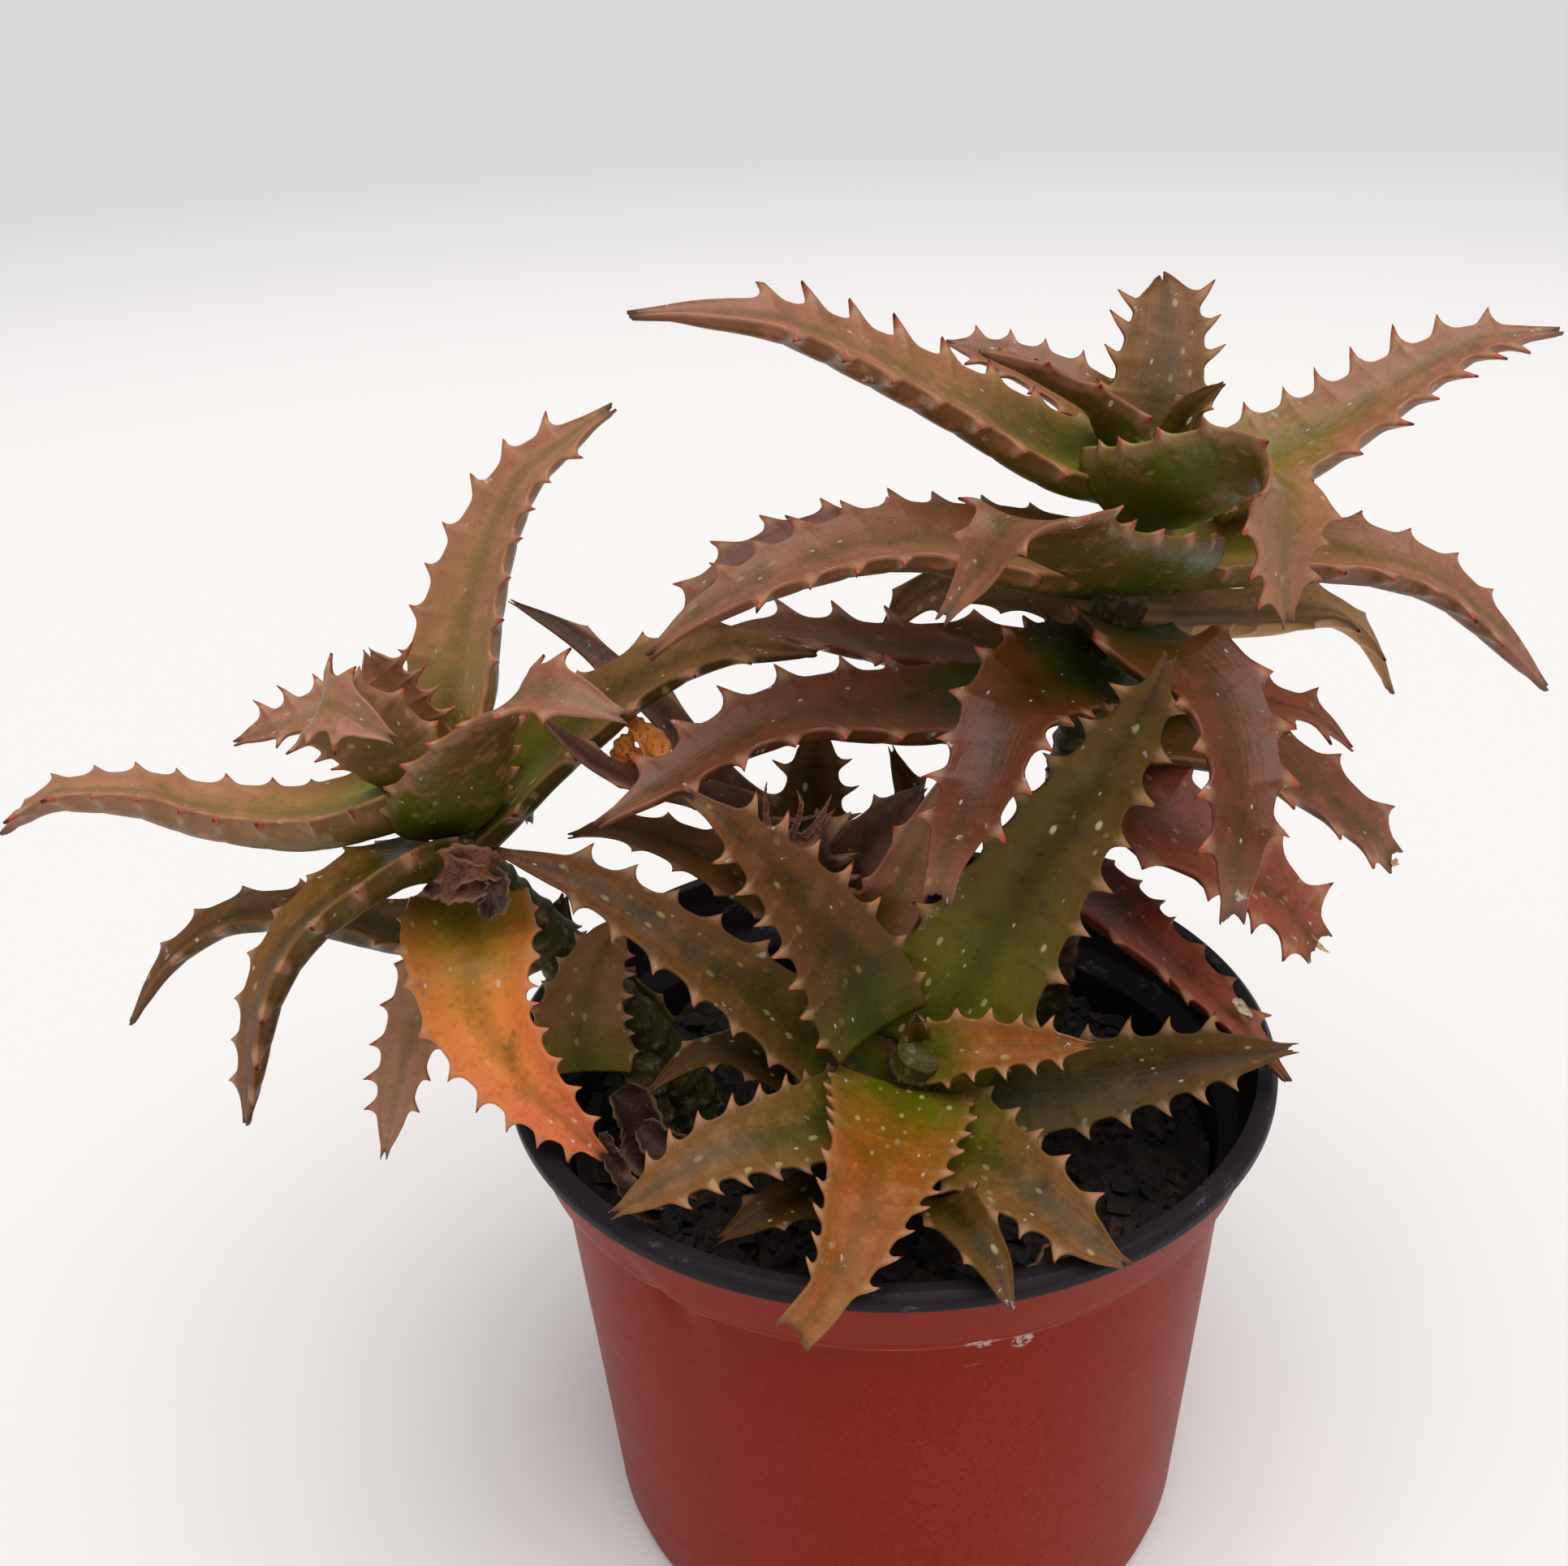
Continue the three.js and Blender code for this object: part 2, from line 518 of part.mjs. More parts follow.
// The largest of the bodies that a cut leaves, so that no loose scrap stays.
function largestBody(solid) {
  const bodies = solid.decompose();
  bodies.sort((a, b) => b.volume() - a.volume());
  return bodies[0];
}

// A solid cut clear of its neighbours. Their grown forms leave the gap, and where a fold keeps a
// sliver in one of them, that one is cut away again by itself.
function cutClear(solid, neighbours) {
  const near = neighbours.filter((other) => boxesMeet(solid, other.grown));
  const apart = (from, other) => largestBody(from.subtract(other));
  const gapped = near.reduce((left, other) => apart(left, other.grown), solid).simplify(FINEST);
  const meets = (left, other) => left.intersect(other.solid).volume() > LEAST_OVERLAP;
  return near.reduce((left, other) => (meets(left, other) ? apart(left, other.solid) : left), gapped);
}

function boxesMeet(a, b) {
  const p = a.boundingBox();
  const q = b.boundingBox();
  return [0, 1, 2].every((k) => p.min[k] < q.max[k] && q.min[k] < p.max[k]);
}

// Rings of points, all of one count, joined side by side and closed by a fan at each end.
function loft(rings) {
  const count = rings[0].length;
  const points = rings.flat().flatMap((p) => [p.x, p.y, p.z]);
  const faces = [];
  for (let r = 0; r + 1 < rings.length; r++) {
    for (let k = 0; k < count; k++) {
      const a = r * count + k;
      const b = r * count + ((k + 1) % count);
      faces.push(a, b, a + count, b, b + count, a + count);
    }
  }
  const last = (rings.length - 1) * count;
  for (let k = 1; k + 1 < count; k++) {
    faces.push(0, k + 1, k);
    faces.push(last, last + k, last + k + 1);
  }
  const geometry = new THREE.BufferGeometry();
  geometry.setAttribute("position", new THREE.BufferAttribute(new Float32Array(points), 3));
  geometry.setIndex(faces);
  return solidFrom(geometry);
}

function curveThrough(route) {
  const points = route.map((p) => new THREE.Vector3(...p));
  return new THREE.CatmullRomCurve3(points, false, "catmullrom", 0.5);
}

// The direction that the upper side faces at a share along the leaf.
function faceAt(faces, share) {
  const place = share * (faces.length - 1);
  const first = Math.min(Math.floor(place), faces.length - 1);
  const second = Math.min(first + 1, faces.length - 1);
  const from = new THREE.Vector3(...faces[first]).normalize();
  const to = new THREE.Vector3(...faces[second]).normalize();
  return from.lerp(to, place - first);
}

// The middle of the leaf at a share along it, with a way to step across, up and along from there.
function frameAt(leaf, curve, share) {
  const middle = curve.getPointAt(share);
  const along = curve.getTangentAt(share);
  const side = new THREE.Vector3().crossVectors(along, faceAt(leaf.faces, share)).normalize();
  const up = new THREE.Vector3().crossVectors(side, along);
  const point = (across, height, forward) =>
    middle
      .clone()
      .addScaledVector(side, across)
      .addScaledVector(up, height)
      .addScaledVector(along, forward);
  return { point };
}

// Half the width at a share along the leaf. A folded leaf has a flare: where it is widest, how much
// wider it is there, and how far the flare spreads.
function halfWidth(leaf, share) {
  const widening = Math.min(1, BASE_WIDTH + WIDENING * share);
  const narrowing = Math.pow(1 - share, leaf.taper) * FULLNESS;
  const [place, more, spread] = leaf.flare ?? NO_FLARE;
  const flared = 1 + more * Math.exp(-(((share - place) / spread) ** 2));
  return leaf.half * Math.max(widening * narrowing * flared, leaf.end ?? TIP_SHARE);
}

// Length of the tooth at a share along the leaf: shorter near the base.
function toothLength(leaf, share) {
  const swell = Math.sin((Math.PI / 2) * (share / LONGEST_TOOTH));
  return leaf.tooth * (LEAST_TOOTH + (1 - LEAST_TOOTH) * swell);
}

// One leaf as a channelled, fleshy blade with a row of narrow teeth on each margin. Each tooth takes
// three rings: its two feet and its tip. The right row stands a part of a tooth further along than the
// left one. grow widens the blade on every side, to cut its neighbours clear of it.
function leafSolid(leaf, grow = 0) {
  const curve = curveThrough(leaf.spine);
  const [firstHook, lastHook] = leaf.hook ?? HOOK;
  const toothed = 1 - (leaf.bare ?? BARE_TIP) - FIRST_TOOTH;
  const wider = (grow * leaf.teeth) / (toothed * curve.getLength());
  const shares = [[0, 0]];
  for (let i = 0; i < leaf.teeth; i++) {
    const at = (offset) => FIRST_TOOTH + (toothed * (i + offset)) / leaf.teeth;
    shares.push([at(TOOTH_FEET[0] - wider), 0], [at(TOOTH_MIDDLE), 1], [at(TOOTH_FEET[1] + wider), 0]);
  }
  shares.push([1, 0]);
  const skew = ROW_OFFSET / leaf.teeth;
  const rings = shares.map(([share, pointed], i) => {
    const ended = i === 0 ? -grow : i === shares.length - 1 ? grow : 0;
    const flesh = leaf.thick * Math.max(Math.sqrt(1 - share), TIP_FLESH);
    const half = halfWidth(leaf, share);
    const middle = frameAt(leaf, curve, share);
    const channel = CHANNEL * Math.min(half, leaf.thick);
    const keel = half * KEEL_SPREAD + grow / 2;
    const back =
      leaf.thick < THIN
        ? [middle.point(0, -flesh - grow, ended)]
        : [middle.point(keel, -flesh - grow, ended), middle.point(-keel, -flesh - grow, ended)];
    const edge = (direction, offset) => {
      const place = Math.min(Math.max(share + offset * Math.sin(Math.PI * share), 0), 1);
      const frame = frameAt(leaf, curve, place);
      const tooth = pointed * toothLength(leaf, place);
      const hook = firstHook + (lastHook - firstHook) * place;
      const across = halfWidth(leaf, place) + tooth + grow;
      return frame.point(direction * across, grow, hook * tooth + ended);
    };
    return [
      middle.point(0, grow - channel, ended),
      edge(1, skew),
      ...back,
      edge(-1, 0),
    ];
  });
  return loft(rings);
}

// A stem as a slightly knobbly tapering rod.
function stemSolid(stem, grow = 0) {
  const curve = curveThrough(stem.route);
  const rings = [];
  for (let i = 0; i <= STEM_STEPS; i++) {
    const share = i / STEM_STEPS;
    const middle = curve.getPointAt(share);
    const along = curve.getTangentAt(share);
    const side = new THREE.Vector3(0, 1, 0).cross(along).normalize();
    const up = new THREE.Vector3().crossVectors(along, side);
    const knob = i % 2 === 0 ? 0 : 0.3;
    const radius = stem.foot + (stem.top - stem.foot) * share + knob + grow;
    const ended = i === 0 ? -grow : i === STEM_STEPS ? grow : 0;
    const ring = [];
    for (let k = 0; k < STEM_SIDES; k++) {
      const turn = (2 * Math.PI * k) / STEM_SIDES;
      ring.push(
        middle
          .clone()
          .addScaledVector(side, radius * Math.cos(turn))
          .addScaledVector(up, radius * Math.sin(turn))
          .addScaledVector(along, ended),
      );
    }
    rings.push(ring);
  }
  return loft(rings);
}

// The pot's shell, turned round Z. The profile runs up the outside and down the inside.
function potSolid() {
  const outer = [
    [0, 0],
    [BASE_RADIUS - FOOT_INSET, 0],
    [BASE_RADIUS, FOOT_HEIGHT * 0.4],
    [BASE_RADIUS, FOOT_HEIGHT],
    [BASE_RADIUS + 0.8, FOOT_HEIGHT + 1],
    [STEP_RADIUS, STEP_HEIGHT - 1],
    [STEP_RADIUS + 1, STEP_HEIGHT],
    [COLLAR_RADIUS, STEP_HEIGHT + 3],
    [RIM_RADIUS - 1.2, POT_HEIGHT - LIP_HEIGHT - 0.5],
    [RIM_RADIUS, POT_HEIGHT - LIP_HEIGHT + 0.5],
    [RIM_RADIUS, POT_HEIGHT - 1],
    [RIM_RADIUS - 1, POT_HEIGHT],
    [RIM_RADIUS - LIP_WIDTH, POT_HEIGHT],
  ];
  const inner = [
    [RIM_RADIUS - LIP_WIDTH - 0.4, POT_HEIGHT - LIP_HEIGHT - 1],
    [COLLAR_RADIUS - WALL, STEP_HEIGHT + 3],
    [STEP_RADIUS - WALL, STEP_HEIGHT],
    [BASE_RADIUS - WALL + 0.6, WALL + 2],
    [BASE_RADIUS - WALL - 2, WALL],
    [0, WALL],
  ];
  const profile = [...outer, ...inner].map(([r, z]) => new THREE.Vector2(r, z));
  const turned = new THREE.LatheGeometry(profile, POT_SIDES);
  turned.rotateX(Math.PI / 2);
  let shell = solidFrom(turned);
  for (let i = 0; i < DRAIN_HOLES; i++) {
    const turn = (2 * Math.PI * (i + 0.5)) / DRAIN_HOLES;
    const hole = new THREE.CylinderGeometry(DRAIN_RADIUS, DRAIN_RADIUS, 4 * WALL, 12);
    hole.rotateX(Math.PI / 2);
    hole.translate(DRAIN_CIRCLE * Math.cos(turn), DRAIN_CIRCLE * Math.sin(turn), 0);
    shell = shell.subtract(solidFrom(hole));
  }
  return shell;
}

// Height of the soil at a place: a low mound with soft lumps.
function soilHeight(x, y) {
  const out = Math.hypot(x, y) / STEP_RADIUS;
  const lumps = Math.sin(0.31 * x + 1.1) * Math.cos(0.27 * y - 0.4) + 0.6 * Math.sin(0.53 * (x - y));
  return SOIL_LEVEL + SOIL_MOUND * (1 - out * out) + SOIL_LUMP * lumps * (1 - 0.5 * out);
}

// The soil, which fits inside the wall and stands on the pot's floor.
function soilSolid() {
  const foot = WALL + GAP;
  const footRadius = BASE_RADIUS - WALL - 2 - GAP;
  const topRadius = STEP_RADIUS - WALL - 1;
  const rings = [];
  const ring = (radius, height) => {
    const points = [];
    for (let k = 0; k < SOIL_SIDES; k++) {
      const turn = (2 * Math.PI * k) / SOIL_SIDES;
      const x = radius * Math.cos(turn);
      const y = radius * Math.sin(turn);
      points.push(new THREE.Vector3(x, y, height ?? soilHeight(x, y)));
    }
    return points;
  };
  rings.push(ring(footRadius, foot));
  for (let i = 0; i < SOIL_RINGS; i++) {
    rings.push(ring(topRadius * (1 - i / SOIL_RINGS)));
  }
  return loft(rings);
}

// A stem joined with the young leaves that grow from it.
function shootedStem(stem, grow = 0) {
  const young = SHOOTS.filter((shoot) => stem.shoots?.includes(shoot.name));
  return young.reduce((solid, shoot) => solid.add(leafSolid(shoot, grow)), stemSolid(stem, grow));
}

const stems = STEMS.map((stem) => ({ ...stem, solid: shootedStem(stem), grown: shootedStem(stem, GAP) }));

// Each leaf is cut clear of the stems and of the leaves before it, so it clasps what it grows on.
const leaves = [];
for (const leaf of LEAVES) {
  const solid = cutClear(leafSolid(leaf), [...stems, ...leaves]);
  leaves.push({ ...leaf, solid, grown: leafSolid(leaf, GAP) });
}

let soil = soilSolid();
for (const stem of stems) {
  soil = soil.subtract(stem.grown);
}

const plant = new THREE.Group();

function addPiece(name, solid, material) {
  const mesh = new THREE.Mesh(geometryFrom(solid), material);
  mesh.name = name;
  plant.add(mesh);
}

addPiece("pot", potSolid(), SKINS.pot);
addPiece("soil", largestBody(soil), SKINS.soil);
for (const stem of stems) {
  addPiece(stem.name, stem.solid, SKINS.stem);
}
for (const leaf of leaves) {
  addPiece(leaf.name, leaf.solid, SKINS[leaf.skin]);
}

export default plant;
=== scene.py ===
import math

import bpy
import numpy as np
from mathutils import Matrix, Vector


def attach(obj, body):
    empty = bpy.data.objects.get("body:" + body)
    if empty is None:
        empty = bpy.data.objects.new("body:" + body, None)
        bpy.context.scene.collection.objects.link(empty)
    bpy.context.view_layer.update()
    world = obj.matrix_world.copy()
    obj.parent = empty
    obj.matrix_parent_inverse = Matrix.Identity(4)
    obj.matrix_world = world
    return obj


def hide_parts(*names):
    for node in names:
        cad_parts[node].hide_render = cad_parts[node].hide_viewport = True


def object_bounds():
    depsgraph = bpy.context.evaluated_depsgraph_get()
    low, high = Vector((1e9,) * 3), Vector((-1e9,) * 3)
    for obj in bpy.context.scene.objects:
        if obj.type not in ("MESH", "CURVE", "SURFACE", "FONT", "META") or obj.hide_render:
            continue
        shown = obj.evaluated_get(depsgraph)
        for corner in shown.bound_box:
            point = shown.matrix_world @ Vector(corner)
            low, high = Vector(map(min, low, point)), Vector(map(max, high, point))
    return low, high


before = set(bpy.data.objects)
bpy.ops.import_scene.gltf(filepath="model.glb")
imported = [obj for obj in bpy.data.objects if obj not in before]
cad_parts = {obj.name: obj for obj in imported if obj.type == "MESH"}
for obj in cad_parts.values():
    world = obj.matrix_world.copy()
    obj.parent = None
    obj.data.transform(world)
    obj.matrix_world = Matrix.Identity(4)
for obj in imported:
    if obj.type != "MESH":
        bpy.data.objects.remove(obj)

# A potted aloe with three leaf rosettes. The tables below are in millimetres, in the frame's axes.
MM = 0.001
TURN = 2 * math.pi
CAD_BOX = [list(corner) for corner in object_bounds()]

# Camera, in mm and degrees, with its lens for a 36 mm wide sensor.
CAMERA_TARGET = (-14.8, 0.0, 132.5)
CAMERA_DISTANCE = 262.6
CAMERA_PITCH = 27.15
CAMERA_ROLL = -2.45
CAMERA_LENS = 41.0
SENSOR_WIDTH = 36

# Pot and soil.
RIM_RADIUS = 60
POT_HEIGHT = 88
WALL = 1.5
BASE_RADIUS = 48
FOOT_HEIGHT = 3
FOOT_INSET = 1.4
STEP_HEIGHT = 73.5
STEP_RADIUS = 53.5
COLLAR_RADIUS = 56.5
LIP_HEIGHT = 3
LIP_WIDTH = 3
SOIL_LEVEL = 68
SOIL_LUMP = 1.3
SOIL_MOUND = 2
# The most that a crumb of the soil's surface stands above its level.
SOIL_TOP = 4.5
# The radius of the innermost ring of points round the pot's axis.
PIN = 0.05
CHIPS = 620

# Leaf shape, as shares of a leaf's own half width, depth and length. A hook is how far a tooth leans
# to the tip, at the base and at the tip, and a flare its place, how much wider it is, and its spread.
BASE_WIDTH = 0.8
WIDENING = 1.3
FULLNESS = 1.12
TIP_SHARE = 0.16
TIP_FLESH = 0.22
CHANNEL = 0.22
FIRST_TOOTH = 0.03
BARE_TIP = 0.16
ROW_OFFSET = 0.4
HOOK = (0.1, 0.5)
LEAST_TOOTH = 0.45
LONGEST_TOOTH = 0.7
NO_FLARE = (0.5, 0, 1)
POINT_START = 0.86
POINT_NARROWING = 0.5
# How slim a tooth is: the power of its rise from the valley to its point.
TOOTH_SLIMNESS = 3.4
# The fork at a leaf's end: where it starts, how deep it is and how uneven, both in mm.
FORK_START = 0.9
FORK_DEPTH = 1.3
FORK_JITTER = 0.35
# Depth of a leaf's margin, and least depth between its upper and lower side, in mm.
MARGIN_DEPTH = 0.9
LEAST_FLESH = 0.3
# How far a tooth rises and its foot swells, as shares of its length, and the dip between teeth in mm.
TOOTH_LIFT = 0.22
TOOTH_PUFF = 0.16
VALLEY_DIP = 0.12

# Places across a leaf from margin to margin, and round a tooth in shares of the teeth's pitch.
TO_MARGIN = [0.18, 0.38, 0.58, 0.76, 0.88, 0.96, 1]
ACROSS = np.array([-x for x in TO_MARGIN[::-1]] + [0] + TO_MARGIN)
TOOTH_STEPS = (-0.5, -0.38, -0.28, -0.19, -0.11, -0.05, 0.0, 0.05, 0.11, 0.19, 0.28, 0.38)
# How much of a tooth's length and of its foot's swelling each place from the middle outwards takes.
FROM_MIDDLE = [0, 0.58, 0.76, 0.88, 0.96, 1]
TOOTH_REACH = [0, 0, 0.08, 0.25, 0.6, 1.0]
FOOT_SWELL = [0, 0.25, 0.8, 1.0, 0.5, 0]

# How far the green of a leaf's base reaches towards its tip, from 0 to 1, and how much darker its colour
# is painted, from -1 for a bleached leaf to 1.
USUAL_TONE = (0.4, 0.1)

LEAF_KEYS = ("name", "skin", "half", "thick", "taper", "teeth", "tooth", "spine", "faces")
USUAL = dict(tone=USUAL_TONE, end=TIP_SHARE, bare=BARE_TIP, hook=HOOK, flare=NO_FLARE)


def leaf(*values, **unusual):
    """One leaf: half its width, its depth, the power of its taper, how many teeth it has on a side
    and the longest one's length, its middle line, and where its upper side looks from base to tip."""
    return {**USUAL, **dict(zip(LEAF_KEYS, values)), **unusual}


# The shoots are fused into their stems in the CAD, so their skins replace no node.
SHOOTS = [
    leaf("crown_shoot", "green", 3.5, 3, 0.6, 3, 1.6, [
        (41, 19, 166), (43, 20, 174), (46, 20, 180), (51, 20, 184)
    ], [(-0.7, -0.5, 0.4)]),
    leaf("front_bud", "green", 1.9, 3, 0.5, 1, 0.2, [
        (3, -24, 100), (2.6, -25, 104), (2.4, -25.4, 108)
    ], [(0, -0.9, 0.4)]),
    leaf("pot_shoot", "green", 4, 3, 0.6, 5, 1.6, [
        (2, -20, 80), (-12, -17, 90), (-24, -15, 96), (-31, -16, 95), (-37, -18, 91)
    ], [(0, -0.7, 0.7)]),
]

LEAVES = [
    leaf("crown_leaf_04", "olive", 6.6, 4, 0.32, 5, 3.2, [
        (41.2, 21, 172.8), (42.2, 24, 179.2), (43.6, 28, 185.4), (45.1, 33, 190.1), (45.6, 37, 193.4),
        (45.2, 39, 195.8)
    ], [(0, -0.9, 0.3), (0, -0.3, 0.95)], tone=(0.25, -0.1), end=0.12, bare=0.1, hook=(0.5, 0.9)),
    leaf("crown_leaf_03", "brown", 5, 4, 0.8, 3, 3, [
        (37.7, 18, 176.9), (33.7, 16, 183.3), (27, 14, 187.4), (20.7, 12, 190.5), (14.7, 10, 192.5)
    ], [(0.1, 0.1, 1)], tone=(0.35, 0.3)),
    leaf("crown_leaf_07", "brown", 9.4, 4, 0.6, 9, 3, [
        (34.3, 13, 171.6), (38.2, 8, 173), (42.6, 3, 175.9), (46.7, 0, 178.6), (51, -3, 179.9),
        (54.1, -6, 176.5), (53.9, -8, 170.4), (54, -8, 164.1), (55.1, -8, 157.2)
    ], [(0.1, 0.9, 0.4), (0.1, 0.85, 0.5), (0.5, 0.3, 0.8), (0.45, -0.7, 0.55), (0.2, -0.9, 0.3)],
        tone=(1, -0.1), bare=0.08, flare=(0.62, 0.55, 0.13)),
    leaf("crown_leaf_01", "brown", 7.4, 7, 0.72, 8, 4.8, [
        (38.2, 17, 174.1), (27.5, 15, 177.6), (13.7, 12, 186), (0.9, 9, 193.2), (-11.6, 6, 199.1),
        (-22.4, 4, 201), (-32.7, 3, 201.1)
    ], [(0, -0.32, 0.95)], tone=(0.45, 0), bare=0.24),
    leaf("crown_leaf_02", "brown", 5.5, 3, 0.6, 5, 3, [
        (38, 26, 176.4), (31.5, 28, 181.6), (24.6, 31, 184.8), (18.3, 34, 186.6), (12.4, 36, 187.7)
    ], [(0, -0.4, 0.9)], tone=(0.3, 0.3), bare=0.1),
    leaf("crown_leaf_06", "brown", 7.4, 7, 0.75, 8, 4.4, [
        (48.6, 20, 169.7), (59, 21, 173.6), (68, 22, 177.6), (78.8, 25, 182.8), (88.2, 27, 186.7),
        (95.2, 28, 187.2), (102.3, 28, 187.5)
    ], [(-0.2, -0.4, 0.87)], tone=(0.4, 0), bare=0.12),
    leaf("crown_leaf_08", "brown", 8.8, 4, 0.7, 7, 2.6, [
        (42.5, 6, 162.4), (35.1, -1, 165.5), (25.9, -8, 170.8), (18.2, -14, 177.2), (14.1, -17, 176.5),
        (10.7, -18, 170.6), (6.4, -17, 163.7)
    ], [(-0.3, 0.5, 0.8), (-0.4, 0.1, 0.9), (-0.1, -0.85, 0.5)],
        tone=(0.75, 0.45), bare=0.2, flare=(0.6, 0.75, 0.1)),
    leaf("crown_leaf_09", "brown", 8, 7, 0.7, 8, 3.6, [
        (31.3, 12, 162.6), (13.6, 6, 167.6), (6.8, 3, 169.7), (0.1, 1, 170.1), (-6.8, -1, 169.3),
        (-16.5, -4, 166.7), (-26.1, -6, 162), (-32.8, -8, 157)
    ], [(0, -0.3, 0.95)], tone=(0.15, 0.25), bare=0.2),
    leaf("crown_leaf_11", "brown", 7.5, 7, 0.65, 7, 3, [
        (44.3, 17, 161.1), (58.2, 15, 162), (68.5, 14, 161.1), (76.6, 13, 159.1), (84.6, 12, 155.3),
        (92.5, 11, 147.9), (100.9, 10, 137.9)
    ], [(0.1, -0.25, 0.95)], tone=(0.3, 0.15), bare=0.2),
    leaf("crown_leaf_10", "brown", 6.5, 5, 0.6, 7, 3.6, [
        (31.1, 20, 157.8), (9.5, 25, 161.2), (-5.4, 22, 163.4), (-15.2, 18, 162.7), (-22.2, 15, 160.2),
        (-26.5, 13, 156.9), (-29.6, 12, 153.1)
    ], [(0, -0.3, 0.95)], tone=(0.4, 0.8), bare=0.04),
    leaf("crown_leaf_18", "olive", 8, 5, 0.65, 5, 2.6, [
        (40, 21, 157), (48, 40, 158), (53, 55, 149), (57, 64, 134)
    ], [(0, 0.1, 1), (0.2, 0.9, 0.4)]),
    leaf("crown_leaf_13", "brown", 8.5, 5, 0.6, 7, 3.2, [
        (36, 10, 152), (38, -4, 155), (44, -14, 152), (46, -23, 146), (45, -29, 137), (44, -32, 125)
    ], [(0.2, -0.5, 0.8), (0.4, -0.8, 0.5), (0.1, -1, 0.2)], tone=(0.5, 0.9), end=0.2),
    leaf("crown_leaf_12", "green", 6.5, 5, 0.7, 5, 2.8, [
        (38, 17, 151), (58, 20, 149), (70, 22, 148), (77, 22, 143), (82, 22, 133)
    ], [(0, 0, 1), (0.9, -0.2, 0.3)], tone=(0.2, -1)),
    leaf("crown_leaf_14", "brown", 9, 5, 0.65, 8, 3, [
        (35, 10, 146), (23, -6, 151), (16, -15, 150), (11, -22, 142), (7, -25, 134), (5, -27, 127)
    ], [(-0.1, -0.6, 0.8), (-0.4, -0.8, 0.4), (-0.2, -1, 0.1)], tone=(0.7, 0.95), end=0.22),
    leaf("crown_leaf_17", "green", 5, 3, 0.6, 3, 1.5, [
        (36, 16, 151), (24, 27, 152), (10, 31, 150), (1, 33, 141)
    ], [(0, -0.8, 0.5)], tone=(0.5, -0.5)),
    leaf("crown_leaf_15", "brown", 8, 6.5, 0.65, 7, 4.4, [
        (20, 12, 140.5), (4, 4, 143.3), (-9.2, 0, 145.2), (-19.7, -4, 144.1), (-29.1, -8, 139.9),
        (-35.4, -12, 137.3), (-41.1, -15, 135)
    ], [(0, -0.25, 0.95)], tone=(0.45, 0.8), bare=0.14, hook=(0.1, 0.3)),
    leaf("crown_leaf_16", "brown", 5.5, 5, 0.55, 5, 4, [
        (34, 15, 143), (16, 24, 143), (3, 22, 145), (-8, 20, 148), (-17, 18, 150), (-24, 17, 150)
    ], [(0, -0.3, 1)], tone=(0.4, 0.2)),
    leaf("middle_leaf_14", "red", 5, 3, 0.7, 5, 3, [
        (35, 14, 141), (50, 18, 137), (61, 19, 134), (69, 19, 131), (76, 20, 124)
    ], [(0, -0.4, 0.9)], tone=(0.3, -0.3)),
    leaf("middle_leaf_13", "brown", 7.4, 5.5, 0.35, 5, 3.8, [
        (34, 13, 136), (54, 12, 131), (64, 10, 126), (73, 8, 119), (80, 6, 111)
    ], [(0.1, -0.3, 0.95)], tone=(0.5, 0.6), end=0.4, bare=0.03),
    leaf("middle_leaf_12", "red", 8.5, 5.5, 0.4, 5, 4.6, [
        (31, 11, 131), (40, 0, 126), (49, -4, 121), (57, -7, 115), (64, -10, 106)
    ], [(0.1, -0.4, 0.9)], tone=(0.5, -0.1), end=0.4, bare=0.03, hook=(0, 0.1)),
    leaf("middle_leaf_11", "red", 7, 4.5, 0.7, 7, 2.8, [
        (28, 11, 112), (38, -4, 108), (45, -8, 102), (52, -14, 96), (57, -23, 92)
    ], [(0.3, -0.2, 0.9)], tone=(0.3, 0)),
    leaf("front_leaf_04", "amber", 4.1, 3, 0.7, 5, 2.4, [
        (3, -26, 101), (9, -29, 105), (18, -31, 106), (26, -33, 107)
    ], [(0, -0.7, 0.7)], tone=(0.8, 0.15)),
    leaf("front_leaf_02", "olive", 8.2, 5, 0.8, 7, 3.4, [
        (-2.3, -25, 104.6), (-7.5, -24, 117.2), (-14.4, -22, 128.1), (-21.8, -20, 136.3),
        (-28, -18, 140.8)
    ], [(0.2, -0.8, 0.6)], tone=(0.5, 0.55)),
    leaf("front_leaf_03", "green", 10.5, 5, 0.7, 9, 3.8, [
        (3, -22, 98), (13, -20, 115), (21, -18, 128), (29, -17, 141), (34, -17, 150), (37, -17, 158)
    ], [(-0.2, -0.85, 0.5)], tone=(0.95, -0.15), bare=0.06, hook=(0, 0.1)),
    leaf("front_leaf_06", "amber", 10, 4.5, 0.8, 10, 2.2, [
        (0.3, -26, 97.4), (-1.1, -36, 99.4), (-2.8, -44, 100.3), (-5.3, -51, 99.8), (-9, -60, 96.3),
        (-12.4, -64, 92.5), (-17, -67, 89)
    ], [(0, -0.75, 0.65), (-0.1, -0.95, 0.4)], tone=(0.65, 0.1), end=0.25, hook=(-0.5, -0.5)),
    leaf("front_leaf_01", "olive", 6.2, 5, 0.6, 8, 3, [
        (1, -23, 90), (-8, -22, 98), (-19, -18, 107), (-32, -14, 116), (-44, -10, 123), (-58, -6, 127)
    ], [(0, -0.6, 0.8)], tone=(0.6, 0.25), hook=(-0.3, -0.2)),
    leaf("front_leaf_08", "olive", 7.6, 4, 0.6, 6, 2.8, [
        (0.2, -24, 93.1), (7.3, -35, 94), (12.5, -43, 94.5), (17.7, -49, 93.7), (23.2, -55, 91.1),
        (27.2, -58, 89.9)
